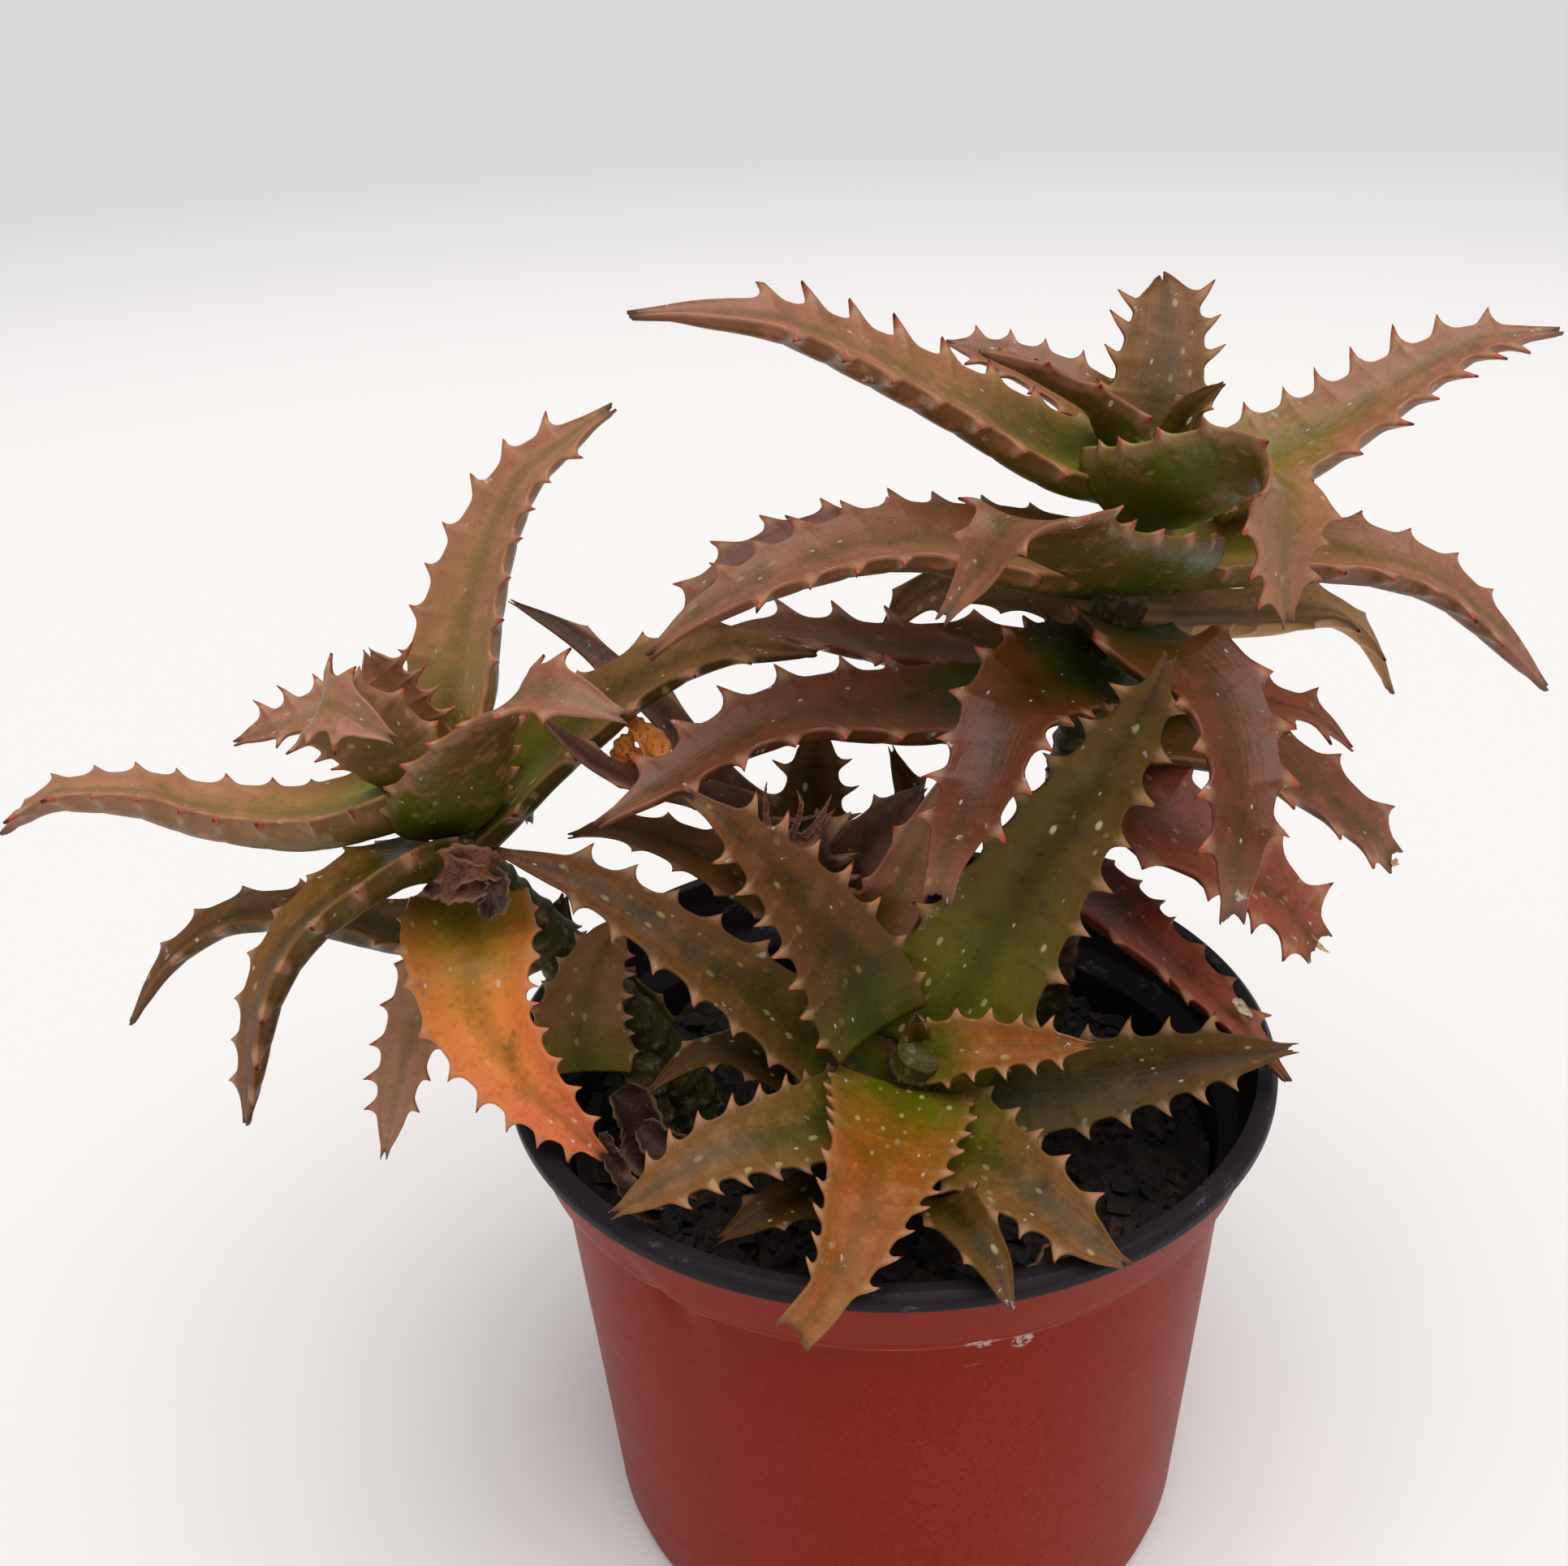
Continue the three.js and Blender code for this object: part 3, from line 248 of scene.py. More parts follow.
    ], [(0.2, -0.7, 0.7)], tone=(0.95, 0.1)),
    leaf("front_leaf_07", "olive", 6.3, 4.5, 0.6, 8, 2.8, [
        (-3.4, -25, 94), (-11.8, -33, 96.3), (-19.8, -38, 97.8), (-26.4, -41, 97.8), (-34.2, -44, 94.8),
        (-40.8, -45, 91)
    ], [(-0.1, -0.6, 0.8)], tone=(0.7, -0.1), hook=(-0.4, -0.3)),
    leaf("front_leaf_10", "green", 7.4, 4.5, 0.6, 8, 3, [
        (3, -22, 85), (12, -22, 91), (23, -22, 92), (35, -22, 94), (46, -22, 96), (58, -22, 97)
    ], [(0, -0.75, 0.65)]),
    leaf("front_leaf_09", "green", 5, 3, 0.5, 4, 1.4, [
        (2, -24, 80), (3, -40, 90), (6, -52, 94), (9, -58, 93), (11, -65, 90)
    ], [(0.1, -0.7, 0.7)]),
    leaf("pot_leaf_21", "green", 5, 3, 0.6, 4, 1.4, [
        (0, -23, 76), (-12, -34, 84), (-19, -39, 86), (-27, -42, 83)
    ], [(0, -0.6, 0.8)]),
    leaf("back_leaf_01", "green", 6.5, 4, 0.5, 6, 3, [
        (-9, 12, 100), (-10, 11, 108), (-11, 12, 118), (-10, 14, 127), (-9, 16, 135)
    ], [(0, -0.9, 0.3)]),
    leaf("back_leaf_02", "green", 4, 3, 0.6, 4, 1.8, [
        (-8, 13, 98), (4, 14, 108), (5, 14, 120), (2, 16, 130)
    ], [(0, -0.9, 0.3)]),
    leaf("dry_leaf_16", "dry", 4.6, 2.4, 0.1, 3, 4, [
        (-10.1, 8, 111), (-12.1, 0, 120.4), (-13, -4, 126), (-12.9, -7, 131.1)
    ], [(0, -0.3, 0.95)], end=0.8, bare=0.02, hook=(0.6, 1.2)),
    leaf("middle_leaf_18", "dry", 5, 3.5, 0.6, 4, 1.8, [
        (-9, 9, 107), (-6, 4, 115), (-1, 2, 123), (6, 0, 131)
    ], [(-0.3, -0.8, 0.4)]),
    leaf("middle_leaf_17", "brown", 6, 3.5, 0.6, 4, 1.6, [
        (-8, 9, 101), (-1, -5, 112), (3, -6, 121), (7, -4, 129), (9, -3, 135)
    ], [(-0.2, -0.9, 0.3)]),
    leaf("pot_leaf_22", "olive", 5, 3.5, 0.6, 5, 1.8, [
        (-9, 11, 102), (-24, 8, 114), (-32, 8, 119), (-41, 8, 122), (-48, 6, 122)
    ], [(0, -0.5, 0.8)]),
    leaf("left_leaf_05", "brown", 5, 3.5, 0.5, 5, 3.8, [
        (-67, 1, 138), (-68, 0, 143), (-70, 0, 149), (-73, 1, 156)
    ], [(0, -0.8, 0.5)]),
    leaf("left_leaf_01", "brown", 8.8, 6, 0.75, 8, 3.4, [
        (-65.3, 3, 141.4), (-63.1, 4, 149.4), (-61.7, 6, 155), (-59.9, 8, 160.6), (-57.6, 10, 166.3),
        (-54.7, 12, 171.5), (-49.9, 13, 177.7), (-42.8, 14, 182.2), (-36.7, 15, 185.6)
    ], [(-0.55, -0.6, 0.6)], tone=(0.3, -0.3), bare=0.12),
    leaf("left_leaf_04", "brown", 7, 2.6, 0.6, 6, 2.8, [
        (-67, 1, 134), (-73, -5, 146), (-78, -11, 153), (-74, -16, 155), (-66, -19, 151)
    ], [(0.2, 0.8, 0.5), (-0.8, 0, 0.6), (0, -0.95, 0.3)], tone=(0.3, -0.25)),
    leaf("left_leaf_07", "brown", 8.8, 3.5, 0.65, 7, 2.8, [
        (-65, -1, 130), (-60, -11, 143), (-52, -19, 156), (-45, -24, 160), (-34, -28, 157)
    ], [(-0.3, 0.8, 0.5), (0, 0, 1), (0.3, -0.8, 0.5)], tone=(0.6, 0.2)),
    leaf("left_leaf_03", "brown", 5, 4, 0.6, 6, 3.2, [
        (-67, 4, 137), (-74, 8, 141), (-81, 8, 144), (-88, 7, 143), (-96, 6, 140)
    ], [(-0.1, -0.5, 0.85)], tone=(0.3, 0)),
    leaf("left_leaf_02", "brown", 7, 7.5, 0.6, 9, 3.4, [
        (-72.7, 0, 135.7), (-79.6, -1, 134.1), (-86.7, -2, 133.5), (-98.6, -2, 135), (-106.8, -3, 138.1),
        (-115.2, -4, 139), (-121.1, -5, 138.2), (-127.8, -6, 133.1)
    ], [(0, 0.1, 1)], tone=(0.35, -0.25), bare=0.05),
    leaf("left_leaf_06", "olive", 6.5, 7, 0.5, 5, 2.4, [
        (-64, 2, 127), (-54, 4, 136), (-45, 6, 142), (-35, 8, 148), (-23, 10, 151), (-9, 12, 148)
    ], [(0, -0.3, 1)], tone=(0.9, -0.1)),
    leaf("left_leaf_10", "olive", 6.6, 6.5, 0.55, 8, 3.2, [
        (-65.4, -1, 126.4), (-72.1, -10, 129.6), (-79.6, -16, 127), (-85.4, -20, 122.6),
        (-89.8, -23, 115.3), (-92.3, -25, 105.8), (-94.4, -26, 94.5)
    ], [(-0.2, 0, 1), (-0.8, -0.3, 0.5), (-0.8, -0.6, 0.1)], tone=(0.35, 0), bare=0.06),
    leaf("left_leaf_15", "olive", 7, 5, 0.65, 5, 2.4, [
        (-64, 4, 128), (-62, 26, 128), (-60, 38, 118), (-60, 45, 104)
    ], [(0, 0.1, 1), (0, 0.9, 0.4)]),
    leaf("left_leaf_14", "orange", 9.6, 4, 0.72, 9, 2.4, [
        (-62.7, -2, 117.3), (-61.5, -14, 113.5), (-59.7, -20, 106.2), (-52.7, -26, 98.1),
        (-42.6, -30, 88.6)
    ], [(0.1, -0.95, 0.3)], tone=(0.6, -0.15), bare=0.06),
    leaf("left_leaf_11", "olive", 5.5, 5.5, 0.6, 7, 3, [
        (-57, 3, 110), (-75, 6, 108), (-86, 4, 112), (-96, 2, 114), (-103, 0, 113), (-111, -2, 107),
        (-117, -4, 98)
    ], [(-0.1, -0.1, 1), (-0.7, -0.2, 0.6)], tone=(0.6, 0)),
    leaf("left_leaf_13", "brown", 5.5, 4, 0.6, 7, 2.2, [
        (-54, 3, 106), (-68, -1, 103), (-73, -2, 96), (-77, -5, 86), (-81, -7, 72)
    ], [(-0.1, -0.95, 0.2)], tone=(0.1, -0.35)),
    leaf("left_leaf_08", "dry", 3, 2.6, 0.5, 3, 1.2, [
        (-9, 12, 109), (-24, 17, 124), (-34, 21, 136), (-46, 24, 147), (-56, 26, 153)
    ], [(0, -0.6, 0.8)]),
    leaf("left_leaf_09", "dry", 3, 2.6, 0.5, 3, 1, [
        (-10, 14, 112), (-24, 13, 123), (-35, 5, 131), (-42, -1, 138), (-49, -4, 147)
    ], [(0, -0.6, 0.8)]),
    leaf("pot_leaf_19", "olive", 7.6, 5, 0.6, 6, 2, [
        (-47.3, -8, 87.3), (-47.4, -7, 96.2), (-44.5, -4, 104.7), (-40.2, 0, 111)
    ], [(0, -0.9, 0.4)], tone=(0.7, -0.25)),
    leaf("pot_leaf_23", "green", 5.5, 4, 0.6, 5, 2, [
        (-38, 6, 83), (-46, 10, 92), (-52, 10, 101), (-50, 9, 110)
    ], [(0, -0.9, 0.3)]),
]

STEMS = [
    dict(name="crown_stem", foot=5.5, top=3.6, route=[
        (22, 14, 60), (27, 13, 95), (30, 12, 125), (34, 12, 145), (38, 16, 158), (41, 19, 169)
    ]),
    dict(name="left_stem", foot=5.2, top=3.6, route=[
        (-28, 6, 60), (-38, 6, 82), (-52, 4, 104), (-61, 1, 119), (-66, 1, 136)
    ]),
    dict(name="front_stem", foot=5, top=3.4, route=[
        (2, -18, 60), (2, -21, 80), (2, -24, 96), (3, -26, 102)
    ]),
    dict(name="back_stem", foot=4, top=3, route=[
        (-8, 12, 60), (-8, 12, 84), (-9, 11, 102), (-9, 10, 113)
    ]),
    dict(name="side_stem", foot=6, top=3, route=[
        (-36, -6, 60), (-38, -5, 70), (-39, -4, 79), (-39, -3, 86)
    ]),
]


def unit(v):
    return v / np.linalg.norm(v, axis=-1, keepdims=True)


def late(share, start):
    """0 up to start, and from there up to 1 at the end."""
    return np.clip((share - start) / (1 - start), 0, 1)


def seed_of(name):
    """A number that stays the same for a name in every run."""
    return sum((k + 1) * ord(letter) for k, letter in enumerate(name))


def catmull_rom(points, steps=400):
    """Points of a uniform Catmull-Rom curve, and the length run up to each one."""
    p = np.asarray(points, float)
    p = np.vstack([2 * p[0] - p[1], p, 2 * p[-1] - p[-2]])
    place = np.linspace(0, len(p) - 3, steps + 1)
    k = np.minimum(place.astype(int), len(p) - 4)
    t = (place - k)[:, None]
    a, b, c, d = p[k], p[k + 1], p[k + 2], p[k + 3]
    curve = (
        (2 * t**3 - 3 * t**2 + 1) * b
        + (t**3 - 2 * t**2 + t) * (c - a) / 2
        + (-2 * t**3 + 3 * t**2) * c
        + (t**3 - t**2) * (d - b) / 2
    )
    run = np.concatenate([[0], np.cumsum(np.linalg.norm(np.diff(curve, axis=0), axis=1))])
    return curve, run


def along_curve(curve, run, share):
    """Places and directions at shares of a curve's length."""
    def at(s):
        reach = np.clip(s, 0, 1) * run[-1]
        return np.stack([np.interp(reach, run, curve[:, k]) for k in range(3)], -1)
    step = 0.006
    return at(share), unit(at(share + step) - at(share - step))


def ring_faces(rings, count, first=0):
    """The four-sided faces between rings of count points, whose points follow each other."""
    faces = []
    for start in range(first, first + (rings - 1) * count, count):
        for k in range(count):
            a, b = start + k, start + (k + 1) % count
            faces.append((a, b, b + count, a + count))
    return faces


def tube_faces(rings, count, cap):
    """The faces of rings closed at both ends; cap holds an end's faces as numbers in its ring."""
    last = (rings - 1) * count
    turned = [(face[0], *face[:0:-1]) for face in cap]
    return ring_faces(rings, count) + turned + [tuple(k + last for k in face) for face in cap]


def half_width(row, share):
    wide = np.minimum(1, BASE_WIDTH + WIDENING * share)
    narrow = np.maximum(1 - share, 0) ** row["taper"] * FULLNESS
    place, more, spread = row["flare"]
    flared = 1 + more * np.exp(-(((share - place) / spread) ** 2))
    return row["half"] * np.maximum(wide * narrow * flared, row["end"])


def tooth_length(row, share):
    grown = np.sin(np.pi / 2 * share / LONGEST_TOOTH)
    return row["tooth"] * (LEAST_TOOTH + (1 - LEAST_TOOTH) * grown)


def waves(rng, share, count, most):
    """A sum of a few slow waves along a leaf."""
    total = np.zeros_like(share)
    for k in range(1, count + 1):
        total += rng.uniform(-1, 1) / k * np.sin(2 * np.pi * k * share + rng.uniform(0, 6.28))
    return most * total


def leaf_arrays(row):
    """Points, faces and shading values of one fleshy leaf with curved teeth and a forked tip."""
    rng = np.random.default_rng(seed_of(row["name"]))
    curve, run = catmull_rom(row["spine"])
    length = run[-1]
    teeth = row["teeth"]
    last = 1 - row["bare"]
    pitch = (last - FIRST_TOOTH) / teeth
    centres = FIRST_TOOTH + pitch * (np.arange(teeth) + 0.5)
    stations = [0.0, FIRST_TOOTH * 0.5]
    for centre in centres:
        stations += [centre + step * pitch for step in TOOTH_STEPS]
    stations += list(np.linspace(last, 1, 5 + int(28 * row["bare"])))
    stations = np.array(stations)
    offset = ROW_OFFSET / teeth
    right = np.clip(stations + offset * np.sin(np.pi * stations), 0, 1)
    blend = (1 + ACROSS)[None, :] / 2
    share = stations[:, None] * (1 - blend) + right[:, None] * blend
    spread = np.broadcast_to(ACROSS, share.shape)
    outer = np.abs(spread)
    sign = np.sign(spread)

    def tooth_at(place, moved):
        """How far the margin's tooth has risen at each place: 0 in the valleys."""
        rise = np.zeros_like(place)
        for centre in centres:
            top = centre + moved * offset * math.sin(math.pi * centre)
            near = np.clip(1 - np.abs(place - top) / (0.5 * pitch), 0, 1)
            rise = np.maximum(rise, near**TOOTH_SLIMNESS * (1 + rng.uniform(-0.22, 0.12)))
        return rise

    rise_left = tooth_at(stations, 0)
    rise_right = tooth_at(right, 1)
    full_left = tooth_length(row, stations) * rise_left
    full_right = tooth_length(row, right) * rise_right

    middle, along = along_curve(curve, run, share)
    faces = unit(np.asarray(row["faces"], float))
    if len(faces) == 1:
        faces = np.vstack([faces, faces])
    knots = np.linspace(0, 1, len(faces))
    face = np.stack([np.interp(share, knots, faces[:, k]) for k in range(3)], -1)
    side = unit(np.cross(along, face))
    up = np.cross(side, along)

    half = half_width(row, share) * (1 + waves(rng, share, 3, 0.03))
    if row["end"] <= TIP_SHARE:
        half = half * (1 - POINT_NARROWING * late(share, POINT_START) ** 1.3)
    flesh = row["thick"] * np.maximum(np.sqrt(np.maximum(1 - share, 0)), TIP_FLESH)
    flesh = np.minimum(flesh, 1.2 * half + 0.4)
    channel = CHANNEL * np.minimum(half, row["thick"]) * (1 - share**4)
    tooth = np.where(spread < 0, full_left[:, None], full_right[:, None])
    rise = np.where(spread < 0, rise_left[:, None], rise_right[:, None])
    reach = np.interp(outer, FROM_MIDDLE, TOOTH_REACH)
    first_hook, last_hook = row["hook"]
    hook = first_hook + (last_hook - first_hook) * share
    edge = MARGIN_DEPTH * (1 - 0.7 * np.clip(rise, 0, 1)) * np.minimum(1, row["thick"] / 3)
    edge = edge * np.clip((1 - share) * 8 + 0.35, 0, 1)

    # A short fork: the middle of the tip is drawn back between its two margins.
    tip = late(share, FORK_START)
    back = -FORK_DEPTH * tip**2 * (1 - outer**1.6)
    dent = np.array([rng.uniform(-FORK_JITTER, FORK_JITTER) for _ in ACROSS]) * tip**3
    ripple = waves(rng, share, 5, 0.16)

    # A leaf is puffed a little round each tooth's foot, and its margins wave between the teeth.
    puff = TOOTH_PUFF * tooth * np.interp(outer, FROM_MIDDLE, FOOT_SWELL)
    lift = TOOTH_LIFT * tooth * reach - VALLEY_DIP * (1 - rise) * reach + puff
    outward = spread * half + sign * tooth * reach
    forward = hook * tooth * reach * rise + back + dent
    upper = -channel * (1 - outer**1.7) + lift + ripple * (1 - spread**2)
    belly = edge / 2 + (flesh - edge / 2) * (1 - outer**3.4) ** 0.6

    def place(sideways, height):
        moves = ((side, sideways), (up, height), (along, forward))
        return middle + sum(way * far[..., None] for way, far in moves)

    def ring(on_top, on_rim, below):
        return np.concatenate([on_top, on_rim[:, -1:], below[:, ::-1], on_rim[:, :1]], axis=1)

    def same(value):
        return ring(*[value * np.ones_like(share)] * 3)

    loop = ring(
        place(outward, upper + edge / 2 * outer**6),
        place(outward + sign * edge * 0.35, lift),
        place(outward, np.minimum(lift - belly, upper - LEAST_FLESH)),
    )
    young, dark = row["tone"]
    values = {
        "along": same(share), "across": same(outer), "tooth": same(rise * reach), "young": same(young),
        "under": ring(0 * share, 0.4 + 0 * share, 1 + 0 * share), "dark": same(dark),
    }
    # Where a point lies on the flattened skin, in mm, with its underside beside its upper side.
    wide = spread * half
    flat = [same(share * length), ring(wide, wide, wide + 40), same(seed_of(row["name"]) % 97)]
    values["flat"] = np.stack(flat, -1)

    count, across = loop.shape[1], len(ACROSS)
    cap = [(k, k + 1, 2 * across - k - 1, 2 * across - k) for k in range(across - 1)]
    cap += [(0, count - 2, count - 1), (across - 1, across, across + 1)]
    return loop.reshape(-1, 3), tube_faces(len(stations), count, cap), values


def add(name, data):
    """A new object in the scene with this data."""
    made = bpy.data.objects.new(name, data)
    bpy.context.scene.collection.objects.link(made)
    return made


def make_piece(name, parts, material, node=None, smooth=True):
    """One object from parts of (points, faces, values), which stay apart inside it."""
    points, faces, start = [], [], 0
    for part in parts:
        points.append(part[0])
        faces += [tuple(k + start for k in face) for face in part[1]]
        start += len(part[0])
    mesh = bpy.data.meshes.new(name)
    low, high = np.array(CAD_BOX)
    mesh.from_pydata(np.clip(np.concatenate(points) * MM, low, high).tolist(), [], faces)
    for key in parts[0][2]:
        kind, field = ("FLOAT_VECTOR", "vector") if key == "flat" else ("FLOAT", "value")
        values = np.concatenate([part[2][key].ravel() for part in parts]).astype(np.float32)
        mesh.attributes.new(key, kind, "POINT").data.foreach_set(field, values)
    mesh.validate()
    mesh.update()
    if smooth:
        mesh.polygons.foreach_set("use_smooth", [True] * len(mesh.polygons))
    mesh.materials.append(material)
    piece = add(name, mesh)
    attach(piece, "root")
    if node:
        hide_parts(node)
    return piece


# Colours of the leaves, as sRGB values from 0 to 255.
CREAM = (214, 206, 150)
SCUFF = (205, 200, 192)
TOOTH_FOOT = (178, 132, 98)
TOOTH_TIP = (92, 36, 22)
DRIED_TIP = (96, 62, 44)
DEEP = (160, 114, 72)
DEEP_GREEN = (120, 130, 96)
BLEACHED = (214, 164, 114)

# Each leaf skin: the record's slot, how glossy and how spotted it is, and the colours of its margin,
# its paler blush, its teeth, the darker shade of its mottling, and its underside and its upper side
# from base to tip.
# Each underside palette is greener and darker than its upper side: partly the underside's own colour,
# partly painted shade.
SKINS = {
    "brown": dict(
        slot="leaf_bronze", gloss=0.36, spots=0.25, margin=(166, 102, 76), blush=(188, 122, 92),
        teeth=(176, 72, 40), shade=(98, 84, 26), under=[(78, 92, 2), (100, 70, 30), (118, 76, 52)],
        upper=[(116, 158, 0), (124, 116, 12), (148, 104, 56), (152, 104, 74), (140, 98, 74)],
    ),
    "olive": dict(
        slot="leaf_olive", gloss=0.2, spots=0.5, margin=(142, 96, 50), blush=(134, 96, 54),
        teeth=(176, 112, 72), shade=(56, 50, 12), under=[(44, 52, 2), (62, 50, 12), (88, 58, 30)],
        upper=[(86, 98, 0), (84, 76, 8), (98, 68, 22), (114, 72, 38), (120, 80, 54)],
    ),
    "green": dict(
        slot="leaf_green", gloss=0.12, spots=0.85, margin=(112, 84, 34), blush=(88, 72, 24),
        teeth=(164, 118, 66), shade=(34, 34, 6), under=[(24, 32, 0), (34, 34, 4), (50, 36, 12)],
        upper=[(90, 96, 0), (74, 70, 4), (66, 54, 6), (74, 50, 18), (98, 60, 38)],
    ),
    "orange": dict(
        slot="leaf_orange", gloss=0.18, spots=0.75, margin=(196, 84, 44), blush=(224, 138, 76),
        teeth=(200, 116, 84), shade=(104, 80, 16), under=[(60, 52, 12), (120, 62, 26), (120, 68, 42)],
        upper=[(112, 112, 0), (160, 116, 8), (224, 132, 50), (218, 104, 60), (184, 84, 52)],
    ),
    "amber": dict(
        slot="leaf_orange", gloss=0.16, spots=0.7, margin=(128, 94, 48), blush=(172, 116, 62),
        teeth=(186, 126, 90), shade=(84, 74, 10), under=[(60, 52, 12), (110, 64, 28), (116, 70, 42)],
        upper=[(92, 96, 0), (138, 90, 6), (154, 76, 16), (150, 80, 32), (160, 102, 70)],
    ),
    "red": dict(
        slot="leaf_red", gloss=0.25, spots=0.3, margin=(164, 82, 58), blush=(158, 84, 62),
        teeth=(178, 84, 60), shade=(72, 46, 16), under=[(36, 30, 12), (76, 40, 24), (104, 48, 34)],
        upper=[(72, 52, 16), (98, 54, 26), (120, 52, 32), (142, 66, 44), (128, 76, 56)],
    ),
    "dry": dict(
        slot="leaf_dry", gloss=0.25, spots=0, margin=(138, 100, 78), blush=(136, 100, 80),
        teeth=(150, 104, 76), shade=(52, 36, 26), under=[(54, 38, 26), (72, 50, 36), (78, 54, 42)],
        upper=[(92, 68, 44), (104, 74, 54), (108, 76, 60), (96, 64, 50), (84, 54, 42)],
    ),
}
UPPER_PLACES = (0.03, 0.17, 0.4, 0.72, 0.98)
UNDER_PLACES = (0.1, 0.45, 0.9)

# Colours of the stems, the pot and the soil.
STEM_GREEN = (52, 62, 14)
STEM_OLIVE = (70, 66, 22)
STEM_BARK = (92, 66, 34)
STEM_SCAR = (52, 38, 24)
STEM_FLECK = (128, 108, 76)
TERRACOTTA = (142, 36, 9)
TERRACOTTA_DARK = (134, 32, 6)
TERRACOTTA_PALE = (150, 44, 16)
TERRACOTTA_GRAIN = (124, 28, 6)
POT_DUST = (205, 170, 158)
PAINTED_STEP_HIGHLIGHT = (208, 128, 108)
POT_BLACKS = [(0.35, (34, 29, 33)), (0.6, (40, 34, 38)), (0.68, (92, 86, 90)), (0.78, (150, 146, 150))]
SOIL_CRUMBS = [(0.32, (10, 7, 6)), (0.5, (26, 18, 14)), (0.62, (52, 34, 24)), (0.74, (92, 58, 40))]
SOIL_DAMP = (18, 14, 13)
# From brown through orange to pale, and the darker grain and the worn edges.
SCRAP_TONES = [(0.0, (62, 34, 20)), (0.2, (150, 92, 62)), (0.5, (232, 142, 52)), (0.95, (206, 188, 158))]
SCRAP_GRAIN = (150, 140, 130)
SCRAP_EDGE = (168, 130, 96)
FLOOR_WHITE = (243, 241, 240)
# Painted shade: the grey that the floor turns far from the middle, for the light's falloff.
FLOOR_FALLOFF_SHADE = (214, 212, 214)
FLOOR_SPECK = (214, 211, 209)


def linear(colour):
    """An sRGB colour from 0 to 255 as Blender's linear colour."""
    def one(c):
        c /= 255
        return c / 12.92 if c <= 0.04045 else ((c + 0.055) / 1.055) ** 2.4
    return tuple(one(c) for c in colour) + (1.0,)


class Shader:
    """A material's node tree, and the colour that its surface has been painted so far."""

    def __init__(self, name):
        self.material = bpy.data.materials.new(name)
        self.material.use_nodes = True
        self.tree = self.material.node_tree
        self.surface = self.tree.nodes["Principled BSDF"]
        self.place = self.node("ShaderNodeTexCoord").outputs["Object"]
        self.colour = None

    def node(self, kind, settings=None, **inputs):
        made = self.tree.nodes.new(kind)
        for key, value in (settings or {}).items():
            setattr(made, key, value)
        for key, value in inputs.items():
            self.put(made.inputs[key.replace("_", " ")], value)
        return made

    def put(self, socket, value):
        if isinstance(value, bpy.types.NodeSocket):
            self.tree.links.new(value, socket)
        else:
            socket.default_value = value

    def attribute(self, name, output="Fac"):
        return self.node("ShaderNodeAttribute", dict(attribute_name=name)).outputs[output]

    def vector(self, operation, first, second=None, output=0):
        made = self.node("ShaderNodeVectorMath", dict(operation=operation))
        self.put(made.inputs[0], first)
        if second is not None:
            made.inputs[1].default_value = second
        return made.outputs[output]

    def noise(self, vector, scale, detail=3.0, rough=0.55):
        settings = dict(Vector=vector, Scale=scale, Detail=detail, Roughness=rough)
        return self.node("ShaderNodeTexNoise", None, **settings).outputs["Fac"]

    def cells(self, vector, uneven):
        """The distance to the nearest cell's middle, and that cell's three random values."""
        made = self.node("ShaderNodeTexVoronoi", None, Vector=vector, Scale=1.0, Randomness=uneven)
        chance = self.node("ShaderNodeSeparateColor", None, Color=made.outputs["Color"])
        return made.outputs["Distance"], chance.outputs

    def sum_of(self, operation, *values):
        made = self.node("ShaderNodeMath", dict(operation=operation))
        for socket, value in zip(made.inputs, values):
            self.put(socket, value)
        return made.outputs[0]

    def times(self, first, second):
        return self.sum_of("MULTIPLY", first, second)

    def less(self, first, second):
        return self.sum_of("SUBTRACT", first, second)

    def most(self, first, second):
        return self.sum_of("MAXIMUM", first, second)

    def slope(self, value, factor, level):
        """value times factor plus level."""
        return self.sum_of("MULTIPLY_ADD", value, factor, level)

    def ramp(self, value, stops):
        """stops is a list of (place, colour)."""
        made = self.node("ShaderNodeValToRGB", None, Fac=value)
        elements = made.color_ramp.elements
        while len(elements) < len(stops):
            elements.new(0.5)
        for element, (place, colour) in zip(elements, stops):
            element.position = place
            element.color = linear(colour)
        return made.outputs["Color"]

    def mask(self, value, low, high):
        """0 below low and 1 above high, or the other way round when low is above high."""
        made = self.node("ShaderNodeMapRange", dict(interpolation_type="SMOOTHSTEP"), Value=value)
        levels = (low, high, 0.0, 1.0) if low < high else (high, low, 1.0, 0.0)
        for key, level in zip(("From Min", "From Max", "To Min", "To Max"), levels):
            made.inputs[key].default_value = level
        return made.outputs["Result"]

    def mix(self, amount, first, second, how="MIX"):
        made = self.node("ShaderNodeMix", dict(data_type="RGBA", blend_type=how, clamp_factor=True))
        self.put(made.inputs["Factor"], amount)
        for name, value in (("A", first), ("B", second)):
            socket = next(s for s in made.inputs if s.name == name and s.type == "RGBA")
            self.put(socket, linear(value) if isinstance(value, tuple) else value)
        return next(s for s in made.outputs if s.type == "RGBA")

    def paint(self, mask, other, share=None):
        """Lays another colour over the surface where the mask is, as thick as share."""
        amount = mask if share is None else self.times(mask, share)
        self.colour = self.mix(amount, self.colour, other)

    def darken(self, mask, other):
        """Multiplies the surface's colour by another one where the mask is."""
        self.paint(mask, self.mix(1.0, self.colour, other, "MULTIPLY"))

    def bump(self, height, strength, distance):
        made = self.node("ShaderNodeBump", None, Height=height, Strength=strength, Distance=distance)
        return made.outputs["Normal"]

    def finish(self, roughness, normal, specular=None):
        self.put(self.surface.inputs["Base Color"], self.colour)
        self.put(self.surface.inputs["Roughness"], roughness)
        self.put(self.surface.inputs["Normal"], normal)
        if specular is not None:
            self.surface.inputs["Specular IOR Level"].default_value = specular
        return self.material


